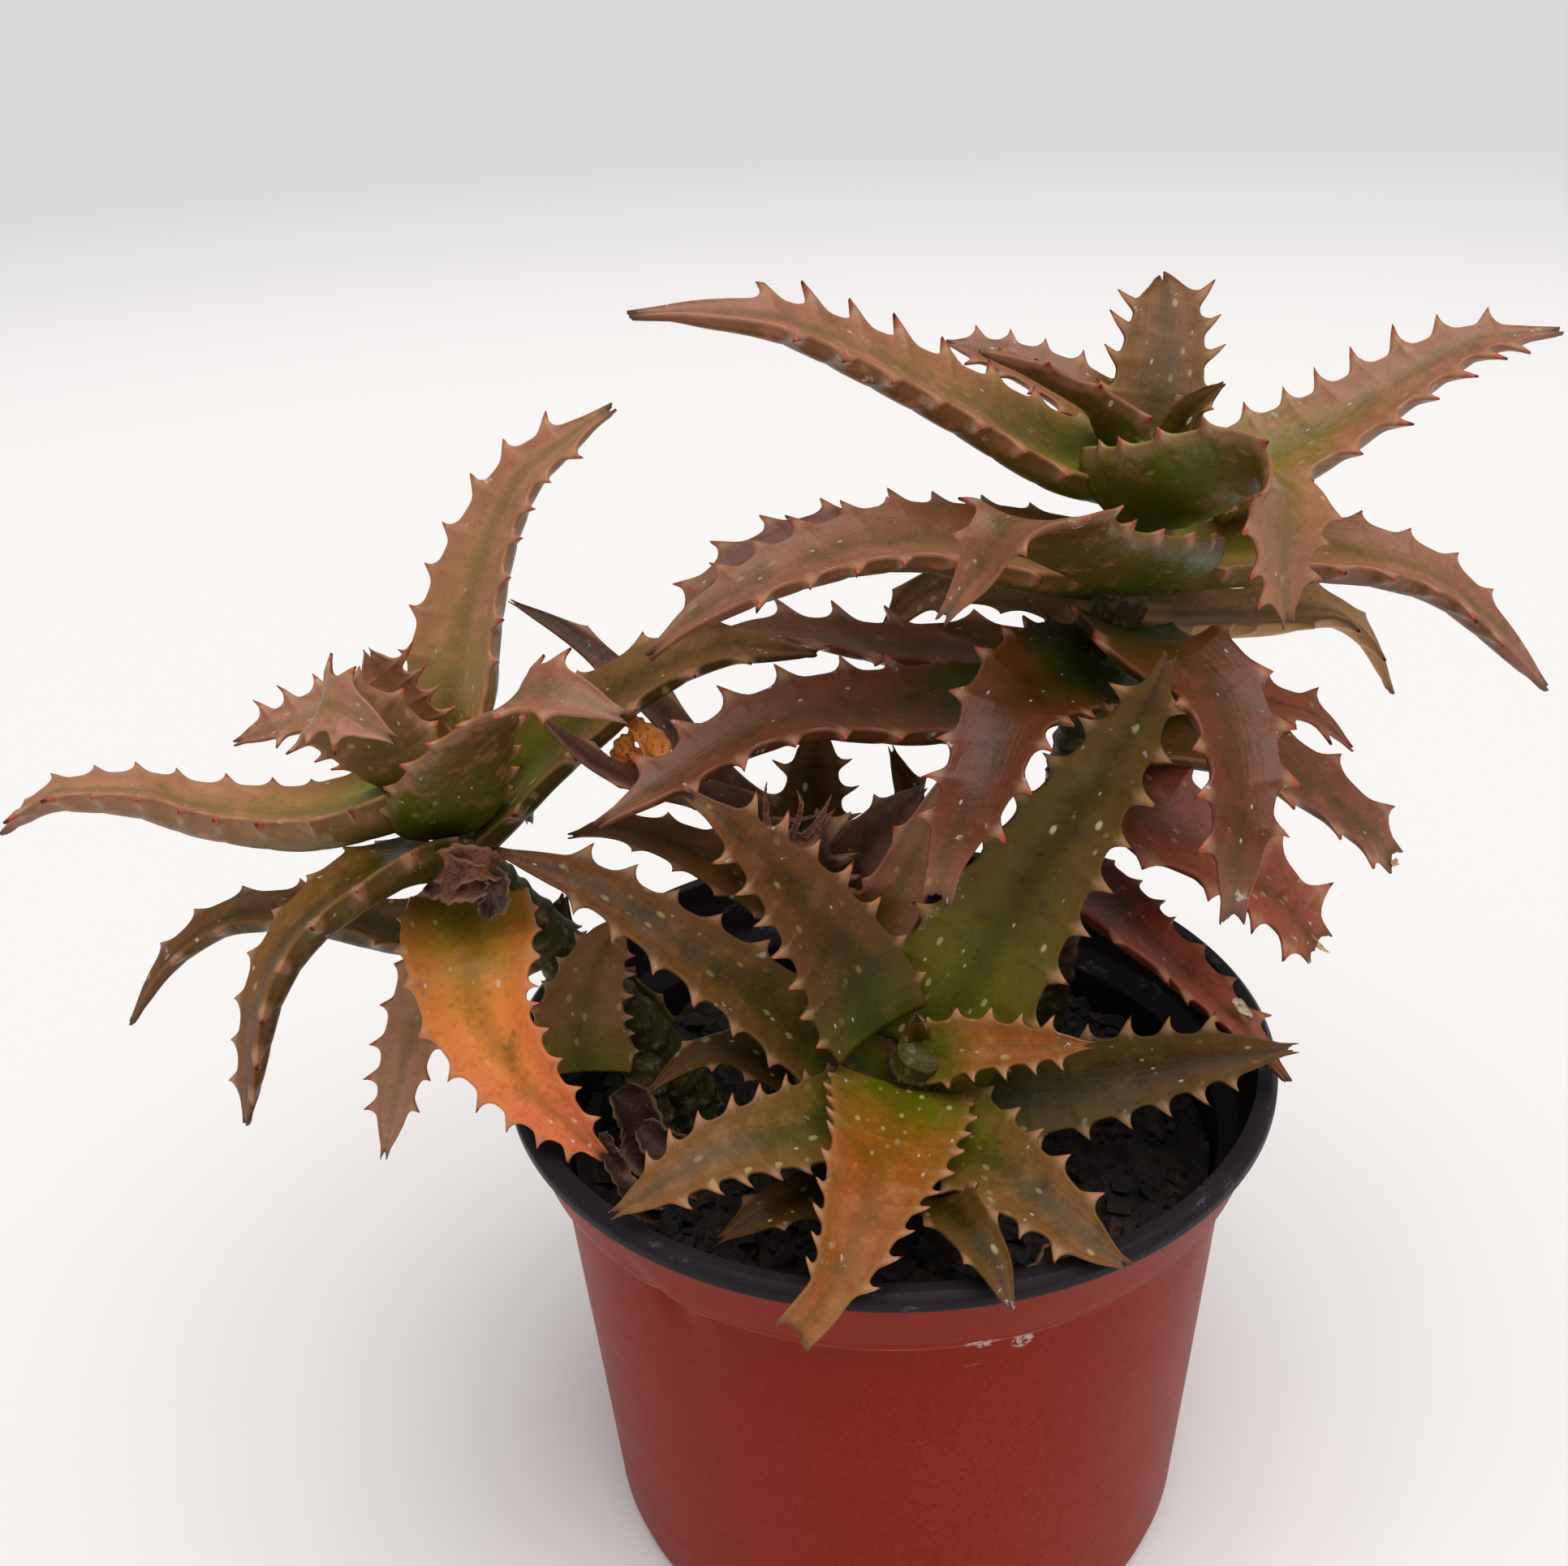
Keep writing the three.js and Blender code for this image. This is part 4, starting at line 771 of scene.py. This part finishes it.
def leaf_material(name):
    skin = SKINS[name]
    s = Shader("leaf_" + name)
    flat = s.attribute("flat", "Vector")
    along, across, under, tooth, young, dark = [
        s.attribute(key) for key in ("along", "across", "under", "tooth", "young", "dark")
    ]
    cloud = s.noise(s.place, 60.0, 2.0)
    mottle = s.noise(s.place, 230.0, 4.0, 0.65)
    grain = s.noise(s.place, 900.0, 3.0, 0.6)

    # From green at the base to brown at the tip, mottled with a blush and a shade.
    drift = s.slope(cloud, 0.3, -0.15)
    reach = s.sum_of("ADD", along, s.sum_of("ADD", s.slope(young, -0.44, 0.2), drift))
    s.colour = s.ramp(reach, list(zip(UPPER_PLACES, skin["upper"])))
    # The underside is painted from its darker palette: partly its own colour, partly painted shade.
    s.paint(s.mask(under, 0.3, 0.8), s.ramp(reach, list(zip(UNDER_PLACES, skin["under"]))))
    green = s.mask(reach, 0.3, 0.05)
    soft = s.slope(green, -0.35, 0.68)
    s.paint(s.mask(mottle, 0.5, 0.72), skin["blush"], soft)
    s.paint(s.mask(mottle, 0.48, 0.28), skin["shade"], soft)
    s.paint(s.mask(dark, 0.0, -1.0), BLEACHED)
    s.paint(s.mask(grain, 0.52, 0.72), skin["blush"], 0.24)
    s.paint(s.mask(grain, 0.46, 0.3), skin["under"][1], 0.3)

    # Pale oval spots that lie in loose rows along the leaf.
    spot, chance = s.cells(s.vector("MULTIPLY", flat, (0.27, 0.5, 0.37)), 0.85)
    crowd = s.noise(s.vector("MULTIPLY", flat, (0.05, 0.09, 0.37)), 1.0, 1.0)
    shown = s.times(s.mask(chance[0], 0.36, 0.44), s.mask(crowd, 0.4, 0.54))
    s.paint(s.times(s.mask(spot, 0.25, 0.12), shown), CREAM, skin["spots"])

    # The middle of a leaf is greener and its margins pinker.
    middle = s.slope(mottle, 0.6, s.less(across, 0.3))
    s.paint(s.mask(middle, 0.5, 0.0), skin["shade"], 0.42)
    s.paint(s.mask(middle, 0.25, 0.85), skin["margin"], s.slope(under, -0.32, 0.34))
    s.paint(s.mask(across, 0.86, 1.0), skin["blush"], 0.3)
    # A leaf with a dark value above 0 is painted darker, less so near its tip.
    deep = s.times(s.most(dark, 0.0), s.slope(s.mask(along, 0.78, 1.0), -0.7, 1.0))
    s.darken(deep, s.mix(green, DEEP, DEEP_GREEN))

    # Its teeth end in orange and dark red, and its tip is dried.
    # The pale feet are partly the teeth's own colour, partly a painted highlight on the toothed ridges.
    s.paint(s.mask(tooth, 0.12, 0.5), TOOTH_FOOT, 0.6)
    s.paint(s.mask(tooth, 0.5, 0.72), skin["teeth"], 0.8)
    s.paint(s.mask(tooth, 0.8, 0.98), TOOTH_TIP)
    s.paint(s.mask(s.slope(cloud, 0.03, along), 0.965, 1.01), DRIED_TIP, 0.7)

    # Small chalky flecks, and scuffs near the margins and the tips.
    fleck, chance = s.cells(s.vector("MULTIPLY", flat, (0.34, 0.75, 0.37)), 1.0)
    flecked = s.times(s.mask(fleck, 0.16, 0.07), s.mask(chance[1], 0.8, 0.84))
    scratch = s.noise(s.place, 330.0, 5.0, 0.7)
    near_edge = s.most(s.mask(across, 0.6, 1.0), s.mask(along, 0.4, 1.0))
    worn = s.mask(s.slope(near_edge, 0.045, scratch), 0.68, 0.75)
    chalky = s.most(s.times(flecked, 0.7), s.times(worn, 0.65))
    s.paint(chalky, SCUFF)

    rough = s.slope(chalky, 0.3, s.slope(mottle, 0.2, 0.3))
    line = s.noise(s.vector("MULTIPLY", flat, (0.08, 1.3, 1.0)), 1.0, 2.0)
    height = s.slope(line, 0.5, s.slope(grain, 0.25, mottle))
    return s.finish(rough, s.bump(height, 0.3, 0.0007), skin["gloss"])


def stem_material():
    s = Shader("stem")
    cloud = s.noise(s.place, 90.0, 4.0)
    fleck = s.noise(s.place, 600.0, 4.0, 0.6)
    s.colour = s.ramp(cloud, [(0.3, STEM_GREEN), (0.5, STEM_OLIVE), (0.7, STEM_BARK)])
    s.paint(s.mask(s.attribute("scar"), 0.25, 0.9), STEM_SCAR)
    s.paint(s.mask(fleck, 0.5, 0.7), STEM_FLECK)
    return s.finish(s.slope(fleck, 0.3, 0.5), s.bump(fleck, 0.5, 0.0008), 0.25)


# Places where the pot's wall is rubbed white, the height of its step edge, along which a pale highlight
# line is painted, and the height from which it is black, with how far that black line wavers, all in mm.
SCUFFS = [(7.8, -53.6, 74.2), (9.4, -53.2, 73.6), (14.8, -52.2, 71.2), (-34, -41.6, 79)]
STEP_EDGE = 73.6
BLACK_LINE = 83.6
BLACK_WAVER = 2.2


def pot_material():
    s = Shader("pot_plastic")
    height = s.node("ShaderNodeSeparateXYZ", None, Vector=s.place).outputs["Z"]
    cloud = s.noise(s.place, 16.0, 4.0)
    grain = s.noise(s.place, 1400.0, 3.0, 0.6)
    scratch = s.noise(s.vector("MULTIPLY", s.place, (1.0, 1.0, 3.5)), 70.0, 6.0, 0.75)
    wave = s.noise(s.place, 30.0, 2.0)
    s.colour = s.ramp(cloud, [(0.3, TERRACOTTA_DARK), (0.5, TERRACOTTA), (0.72, TERRACOTTA_PALE)])
    s.paint(s.mask(grain, 0.35, 0.75), TERRACOTTA_GRAIN)
    s.paint(s.mask(scratch, 0.66, 0.78), POT_DUST, 0.35)
    for spot in SCUFFS:
        apart = s.vector("DISTANCE", s.place, [v * MM for v in spot], "Value")
        near = s.mask(s.slope(scratch, 0.004, apart), 0.0042, 0.0034)
        s.paint(s.times(near, s.mask(grain, 0.4, 0.55)), SCUFF, 0.8)
    # A pale highlight line painted along the step's edge, broken up by the scratch noise.
    above = s.sum_of("ABSOLUTE", s.less(height, STEP_EDGE * MM))
    s.paint(s.times(s.mask(above, 0.0007, 0.0001), s.mask(scratch, 0.3, 0.7)), PAINTED_STEP_HIGHLIGHT, 0.55)
    line = s.slope(wave, BLACK_WAVER * MM, BLACK_LINE * MM)
    dark = s.most(s.mask(s.less(height, line), -0.00025, 0.00025), s.attribute("inside"))
    s.paint(dark, s.ramp(scratch, POT_BLACKS))
    return s.finish(s.slope(scratch, 0.25, 0.28), s.bump(grain, 0.12, 0.0003), 0.08)


def soil_material():
    s = Shader("potting_soil")
    crumb = s.noise(s.place, 320.0, 6.0, 0.7)
    s.colour = s.ramp(crumb, SOIL_CRUMBS)
    s.paint(s.mask(s.noise(s.place, 60.0, 3.0), 0.55, 0.75), SOIL_DAMP)
    return s.finish(s.slope(crumb, 0.3, 0.65), s.bump(crumb, 0.9, 0.0016))


def scrap_material():
    s = Shader("withered")
    cloud = s.noise(s.place, 240.0, 4.0, 0.6)
    grain = s.noise(s.place, 1300.0, 3.0, 0.6)
    s.colour = s.ramp(s.slope(cloud, 0.24, s.less(s.attribute("tone"), 0.12)), SCRAP_TONES)
    s.darken(s.mask(grain, 0.48, 0.7), SCRAP_GRAIN)
    s.paint(s.mask(s.attribute("across"), 0.7, 1.0), SCRAP_EDGE, 0.4)
    return s.finish(s.slope(grain, 0.2, 0.55), s.bump(grain, 0.5, 0.0006))


def floor_material():
    s = Shader("floor")
    speck = s.noise(s.place, 900.0, 2.0)
    away = s.vector("LENGTH", s.place, output="Value")
    # The floor is painted greyer away from the middle: painted shade for the light's falloff.
    s.colour = s.mix(s.mask(away, 0.62, 1.7), FLOOR_WHITE, FLOOR_FALLOFF_SHADE)
    s.paint(s.mask(speck, 0.76, 0.82), FLOOR_SPECK)
    return s.finish(0.85, s.bump(speck, 0.05, 0.0003), 0.2)


def lathe(profile, sides, bend):
    """Points and faces of a profile of (radius, height, inside) turned round Z, pushed by bend."""
    points, inside = [], []
    for r, z, within in profile:
        for k in range(sides):
            turn = TURN * k / sides
            radius = r + bend(turn, z)
            points.append((radius * math.cos(turn), radius * math.sin(turn), z))
            inside.append(within)
    return np.array(points), ring_faces(len(profile), sides), np.array(inside, float)


def smooth_profile(corners, spread=0.35):
    """A profile with each sharp corner turned into three points."""
    rounded = [corners[0]]
    for before, corner, after in zip(corners, corners[1:], corners[2:]):
        here = np.array(corner[:2], float)
        sides = []
        for other in (before, after):
            way = np.array(other[:2], float) - here
            length = np.linalg.norm(way)
            sides.append(here + way / length * min(spread, 0.45 * length))
        middle = 0.7 * here + 0.15 * (sides[0] + sides[1])
        rounded += [(*point, corner[2]) for point in (sides[0], middle, sides[1])]
    rounded.append(corners[-1])
    return rounded


def finer(profile, longest):
    """The same profile with no step longer than longest."""
    points = [profile[0]]
    for before, after in zip(profile, profile[1:]):
        length = math.hypot(after[0] - before[0], after[1] - before[1])
        parts = max(1, math.ceil(length / longest))
        for k in range(1, parts + 1):
            mid = [b + (a - b) * k / parts for a, b in zip(after[:2], before[:2])]
            points.append((mid[0], mid[1], after[2]))
    return points


# The crease under the rim at the left: its direction in radians and height in mm.
CREASE_TURN = -2.27
CREASE_HEIGHT = 74.0


def crease(turn, height):
    """How far the wall is pushed out, in mm: a dent with a ridge beside it, and a slight unroundness."""
    beside = (turn - CREASE_TURN + math.pi) % TURN - math.pi
    slanted = beside + 0.008 * (height - CREASE_HEIGHT)
    near = math.exp(-(((height - CREASE_HEIGHT) / 5.5) ** 2))
    dent = -0.9 * math.exp(-((slanted / 0.045) ** 2))
    ridge = 0.35 * math.exp(-(((slanted - 0.1) / 0.05) ** 2))
    return (dent + ridge) * near + 0.07 * math.sin(3 * turn + 0.05 * height) - 0.07


def build_pot(material):
    inner = RIM_RADIUS - LIP_WIDTH
    under_lip = POT_HEIGHT - LIP_HEIGHT
    # Radius, height, and 1 on the inside.
    profile = [
        (0.01, 0, 0), (BASE_RADIUS - FOOT_INSET, 0, 0), (BASE_RADIUS, FOOT_HEIGHT * 0.4, 0),
        (BASE_RADIUS, FOOT_HEIGHT, 0), (BASE_RADIUS + 0.8, FOOT_HEIGHT + 1, 0),
        (STEP_RADIUS, STEP_HEIGHT - 1, 0), (STEP_RADIUS + 1, STEP_HEIGHT, 0),
        (COLLAR_RADIUS, STEP_HEIGHT + 3, 0), (RIM_RADIUS - 1.2, under_lip - 0.5, 0),
        (RIM_RADIUS, under_lip + 0.5, 0), (RIM_RADIUS, POT_HEIGHT - 1, 0),
        (RIM_RADIUS - 1, POT_HEIGHT, 0), (inner, POT_HEIGHT, 1), (inner - 0.4, under_lip - 1, 1),
        (COLLAR_RADIUS - WALL, STEP_HEIGHT + 3, 1), (STEP_RADIUS - WALL, STEP_HEIGHT, 1),
        (BASE_RADIUS - WALL + 0.6, WALL + 2, 1), (BASE_RADIUS - WALL - 2, WALL, 1), (0.01, WALL, 1),
    ]
    points, faces, inside = lathe(finer(smooth_profile(profile), 2.5), 192, crease)
    make_piece("pot_shell", [(points, faces, {"inside": inside})], material, "pot")


def soil_height(x, y):
    out = np.hypot(x, y) / STEP_RADIUS
    lumps = np.sin(0.31 * x + 1.1) * np.cos(0.27 * y - 0.4) + 0.6 * np.sin(0.53 * (x - y))
    return SOIL_LEVEL + SOIL_MOUND * (1 - out * out) + SOIL_LUMP * lumps * (1 - 0.5 * out)


def build_soil(material):
    rng = np.random.default_rng(7)
    sides, rings = 180, 46
    top = STEP_RADIUS - WALL - 1
    turns = [TURN * k / sides for k in range(sides)]
    directions = 1.1 * rng.normal(size=(40, 2))
    phases = rng.uniform(0, 6.28, 40)
    points = []
    for r in [top * (1 - k / rings) for k in range(rings)] + [PIN]:
        for turn in turns:
            x, y = r * math.cos(turn), r * math.sin(turn)
            rough = np.sin(directions @ (x, y) + phases).sum()
            points.append((x, y, min(soil_height(x, y) + 0.16 * rough, SOIL_LEVEL + SOIL_TOP)))
    faces = ring_faces(rings + 1, sides)
    start = len(points)
    for r, z in ((top, SOIL_LEVEL - 8), (BASE_RADIUS - WALL - 2.5, WALL + 0.4), (PIN, WALL + 0.4)):
        points += [(r * math.cos(turn), r * math.sin(turn), z) for turn in turns]
    for k in range(sides):
        faces.append((start + k, start + (k + 1) % sides, (k + 1) % sides, k))
    faces += [face[::-1] for face in ring_faces(3, sides, start)]
    parts = [(np.array(points), faces, {})]

    # Chips of bark and crumbs of compost, pressed into the surface.
    box = np.array([(x, y, z) for x in (-1, 1) for y in (-1, 1) for z in (-1, 1)], float)
    box_faces = [(0, 1, 3, 2), (4, 6, 7, 5), (0, 4, 5, 1), (2, 3, 7, 6), (0, 2, 6, 4), (1, 5, 7, 3)]
    for _ in range(CHIPS):
        radius = (top - 2.5) * math.sqrt(rng.uniform(0.0, 1))
        turn = rng.uniform(0, TURN)
        x, y = radius * math.cos(turn), radius * math.sin(turn)
        long = rng.uniform(0.6, 2.4)
        size = np.array([long, long * rng.uniform(0.4, 0.9), long * rng.uniform(0.25, 0.7)])
        corners = box * size * rng.uniform(0.55, 1.0, box.shape)
        spin = np.linalg.qr(rng.normal(size=(3, 3)) * 0.6 + np.eye(3))[0]
        if np.linalg.det(spin) < 0:
            spin[:, 0] *= -1
        middle = np.array([x, y, soil_height(x, y) + 0.5 * size[2]])
        parts.append((corners @ spin.T + middle, box_faces, {}))
    piece = make_piece("soil_surface", parts, material, "soil", smooth=False)
    bevel = piece.modifiers.new("worn", "BEVEL")
    bevel.width = 0.0003
    bevel.segments = 1
    bevel.limit_method = "ANGLE"
    bevel.angle_limit = 0.9


def stem_arrays(row, sides=40, steps=110):
    """A tapering stem ringed with the scars of old leaves."""
    rng = np.random.default_rng(seed_of(row["name"]))
    curve, run = catmull_rom(row["route"])
    share = np.linspace(0, 1, steps)
    middle, along = along_curve(curve, run, share)
    side = unit(np.cross(np.array([0.0, 1.0, 0.0]), along))
    up = np.cross(along, side)
    scars = np.zeros_like(share)
    place = 0.03
    while place < 0.98:
        scars = np.maximum(scars, np.exp(-(((share - place) * run[-1]) / 0.55) ** 2))
        place += rng.uniform(3.2, 6.0) / run[-1]
    turns = np.linspace(0, TURN, sides, endpoint=False)
    down = share[:, None]
    wobble = 0.18 * np.sin(2 * turns + 9 * down) + 0.1 * np.sin(5 * turns + 21 * down)
    thick = row["foot"] + (row["top"] - row["foot"]) * share + 0.55 * scars - 0.1
    radius = thick[:, None] + wobble
    points = (
        middle[:, None, :]
        + side[:, None, :] * (radius * np.cos(turns))[..., None]
        + up[:, None, :] * (radius * np.sin(turns))[..., None]
    )
    faces = tube_faces(steps, sides, [tuple(range(sides))])
    return points.reshape(-1, 3), faces, {"scar": np.repeat(scars, sides)}


# Withered scraps of old leaves: 0 for brown, 0.5 for orange or 1 for pale, the width, and the middle
# line in mm.
SCRAPS = [
    (0.5, 4.5, [(-37.6, 6, 141), (-35, 4.6, 138.6), (-34.4, 5, 136), (-36.2, 6, 133.6), (-38, 7, 131.6)]),
    (0.5, 3, [(-36, 7, 139), (-38.4, 6, 137), (-38.6, 6, 134.4), (-36.4, 7, 132)]),
    (0.1, 6.5, [(-67, -6, 122.4), (-64.6, -9.6, 124.4), (-61, -12, 125.6), (-57.6, -11.4, 124)]),
    (0.15, 5.5, [(-66, -7, 126), (-62, -11, 127.6), (-58.4, -11.6, 127.4), (-56.4, -9, 125)]),
    (0, 4, [(-57.4, -11.2, 126.4), (-56.6, -12.2, 124), (-57.2, -12.6, 121.8), (-58.6, -13, 119.8)]),
    (0, 3.4, [
        (-43.5, -23.5, 88.4), (-42.6, -25, 85), (-41, -26.4, 81), (-38.4, -27, 77), (-36, -25, 73.6)
    ]),
    (-0.1, 9, [(-35, -11, 68.6), (-37.4, -11, 74), (-39.6, -9.6, 79.6), (-42.4, -8, 84.6)]),
    (-0.1, 6, [(-29, -16, 68.8), (-31.6, -15.6, 73), (-35.4, -13.6, 77), (-39.4, -11, 79.4)]),
    (0.95, 2, [(50.8, -12.4, 99.4), (52.2, -13.2, 98), (53.8, -13.6, 96.6)]),
    (0.72, 1.5, [(61.4, -8.4, 108.4), (63.4, -9.8, 106.6), (65.2, -10.4, 105.6)]),
    (0.7, 1.4, [(78.4, 4.4, 112), (79.8, 6, 111), (80, 7.6, 110)]),
    (0, 5, [(30, -30, 69.6), (26, -33, 71.2), (21, -34, 70.6), (17, -37, 69.6)]),
    (0.2, 4, [(-20, -38, 69.4), (-15, -41, 70.6), (-9, -42, 70.2), (-4, -45, 69)]),
    (0.1, 3, [
        (-19.2, -6.5, 128.5), (-17.6, -7.5, 127.4), (-14.6, -8, 126.8), (-12.1, -8, 127.5),
        (-10.4, -7, 128.6)
    ]),
    (0.12, 1.3, [(-18.8, -7, 128.5), (-19.7, -8, 131.5), (-19.8, -9, 134.2)]),
    (0.12, 1.3, [(-17, -7.5, 127.6), (-17.6, -8, 131.6), (-17.6, -8.4, 135), (-17.2, -9, 137.4)]),
    (0.12, 1.4, [(-14.5, -8, 127.2), (-13.1, -9.4, 131.1), (-12.5, -9.8, 134.2), (-13, -9.4, 136.1)]),
    (0.12, 1.4, [(-12.3, -8, 127.5), (-10, -9, 131.1), (-8.9, -9.4, 133.5), (-8.1, -9.2, 135)]),
    (0.12, 1.3, [(-10.9, -7.4, 128.1), (-9.1, -7.4, 130.2), (-7.6, -7.2, 131.6)]),
]
# A scrap narrower than this, in mm, is less crumpled and runs out in a point.
SLIGHT_WIDTH = 3


def scrap_arrays(tone, width, spine, seed):
    """A thin crumpled strip, curled across and twisted along its middle line."""
    rng = np.random.default_rng(seed)
    curve, run = catmull_rom(spine)
    share = np.linspace(0, 1, 44)
    middle, along = along_curve(curve, run, share)
    side = unit(np.cross(along, [0.25, -0.85, 0.45]))
    up = np.cross(side, along)
    twist = waves(rng, share, 3, 0.5)[:, None]
    side, up = side * np.cos(twist) + up * np.sin(twist), up * np.cos(twist) - side * np.sin(twist)
    half = width / 2 * (0.3 + 0.7 * np.sin(np.pi * np.clip(share, 0.02, 0.98)) ** 0.5)
    half = half * (1 + waves(rng, share, 6, 0.16))
    across = np.linspace(-1, 1, 11)
    slight = min(1, width / SLIGHT_WIDTH)
    if slight < 1:
        half = half * (1 - share) ** 0.6
    curl = half[:, None] * (0.55 * across**2)
    down = share[:, None]
    crumple = slight**2 * sum(
        rng.uniform(0.05, 0.22) * np.sin(rng.uniform(4, 26) * down + rng.uniform(1, 5) * across + k)
        for k in range(5)
    )
    edge = 0.18 * slight**2 * np.sin(60 * down + rng.uniform(0, 6)) * across**3
    level = (curl + crumple)[..., None] * up[:, None, :]
    flat = middle[:, None, :] + side[:, None, :] * (half[:, None] * across + edge)[..., None] + level
    depth = 0.32 * slight * up[:, None, :]
    loop = np.concatenate([flat + depth, (flat - depth)[:, ::-1]], axis=1)
    steps, count = loop.shape[:2]
    cap = [(k, k + 1, count - 2 - k, count - 1 - k) for k in range(len(across) - 1)]
    outer = np.tile(np.abs(np.concatenate([across, across[::-1]])), steps)
    values = {"tone": np.full(steps * count, tone), "across": outer}
    return loop.reshape(-1, 3), tube_faces(steps, count, cap), values


def build_scraps():
    parts = [scrap_arrays(*row, seed=31 + k) for k, row in enumerate(SCRAPS)]
    make_piece("withered_scraps", parts, scrap_material())


def build_plant():
    skins = {name: leaf_material(name) for name in SKINS}
    stem_skin = stem_material()
    for row in LEAVES:
        make_piece("skin_" + row["name"], [leaf_arrays(row)], skins[row["skin"]], row["name"])
    for row in STEMS:
        make_piece("bark_" + row["name"], [stem_arrays(row)], stem_skin, row["name"])
    for row in SHOOTS:
        make_piece("skin_" + row["name"], [leaf_arrays(row)], skins[row["skin"]])


# The floor reaches this far from the middle, in metres.
FLOOR_REACH = 9.0
WORLD_COLOUR = (0.86, 0.87, 0.9, 1)
WORLD_STRENGTH = 0.34
# The lamp: where it stands, how wide it looks in degrees, its power and its colour.
LAMP_WAY = (0.1, -0.25, 1.0)
LAMP_SPREAD = 65
LAMP_POWER = 2.55
LAMP_COLOUR = (1.0, 0.985, 0.96)


def set_frame(thing, place, right, up, back):
    rows = [[right[k], up[k], back[k], place[k]] for k in range(3)] + [[0, 0, 0, 1]]
    thing.matrix_world = Matrix(rows)


def build_floor():
    mesh = bpy.data.meshes.new("floor")
    corners = [(FLOOR_REACH * x, FLOOR_REACH * y, 0) for x, y in ((-1, -1), (1, -1), (1, 1), (-1, 1))]
    mesh.from_pydata(corners, [], [(0, 1, 2, 3)])
    mesh.materials.append(floor_material())
    add("floor", mesh)


def build_light():
    world = bpy.data.worlds.new("studio")
    world.use_nodes = True
    background = world.node_tree.nodes["Background"].inputs
    background["Color"].default_value = WORLD_COLOUR
    background["Strength"].default_value = WORLD_STRENGTH
    bpy.context.scene.world = world
    lamp = bpy.data.lights.new("lamp", "SUN")
    lamp.energy = LAMP_POWER
    lamp.angle = math.radians(LAMP_SPREAD)
    lamp.color = LAMP_COLOUR
    back = unit(np.array(LAMP_WAY))
    right = unit(np.cross([0.0, 0.0, 1.0], back))
    set_frame(add("lamp", lamp), LAMP_WAY, right, np.cross(back, right), back)


def build_camera():
    pitch, roll = math.radians(CAMERA_PITCH), math.radians(CAMERA_ROLL)
    back = np.array([0, -math.cos(pitch), math.sin(pitch)])
    right = np.array([1.0, 0, 0])
    up = np.cross(back, right)
    rolled = math.cos(roll) * right + math.sin(roll) * up
    upright = -math.sin(roll) * right + math.cos(roll) * up
    lens = bpy.data.cameras.new("camera")
    lens.sensor_fit = "HORIZONTAL"
    lens.sensor_width = SENSOR_WIDTH
    lens.lens = CAMERA_LENS
    lens.clip_start = 0.01
    camera = add("camera", lens)
    set_frame(camera, (np.array(CAMERA_TARGET) + CAMERA_DISTANCE * back) * MM, rolled, upright, back)
    bpy.context.scene.camera = camera


bpy.context.scene.view_settings.view_transform = "Standard"
build_camera()
build_floor()
build_light()
build_pot(pot_material())
build_soil(soil_material())
build_plant()
build_scraps()
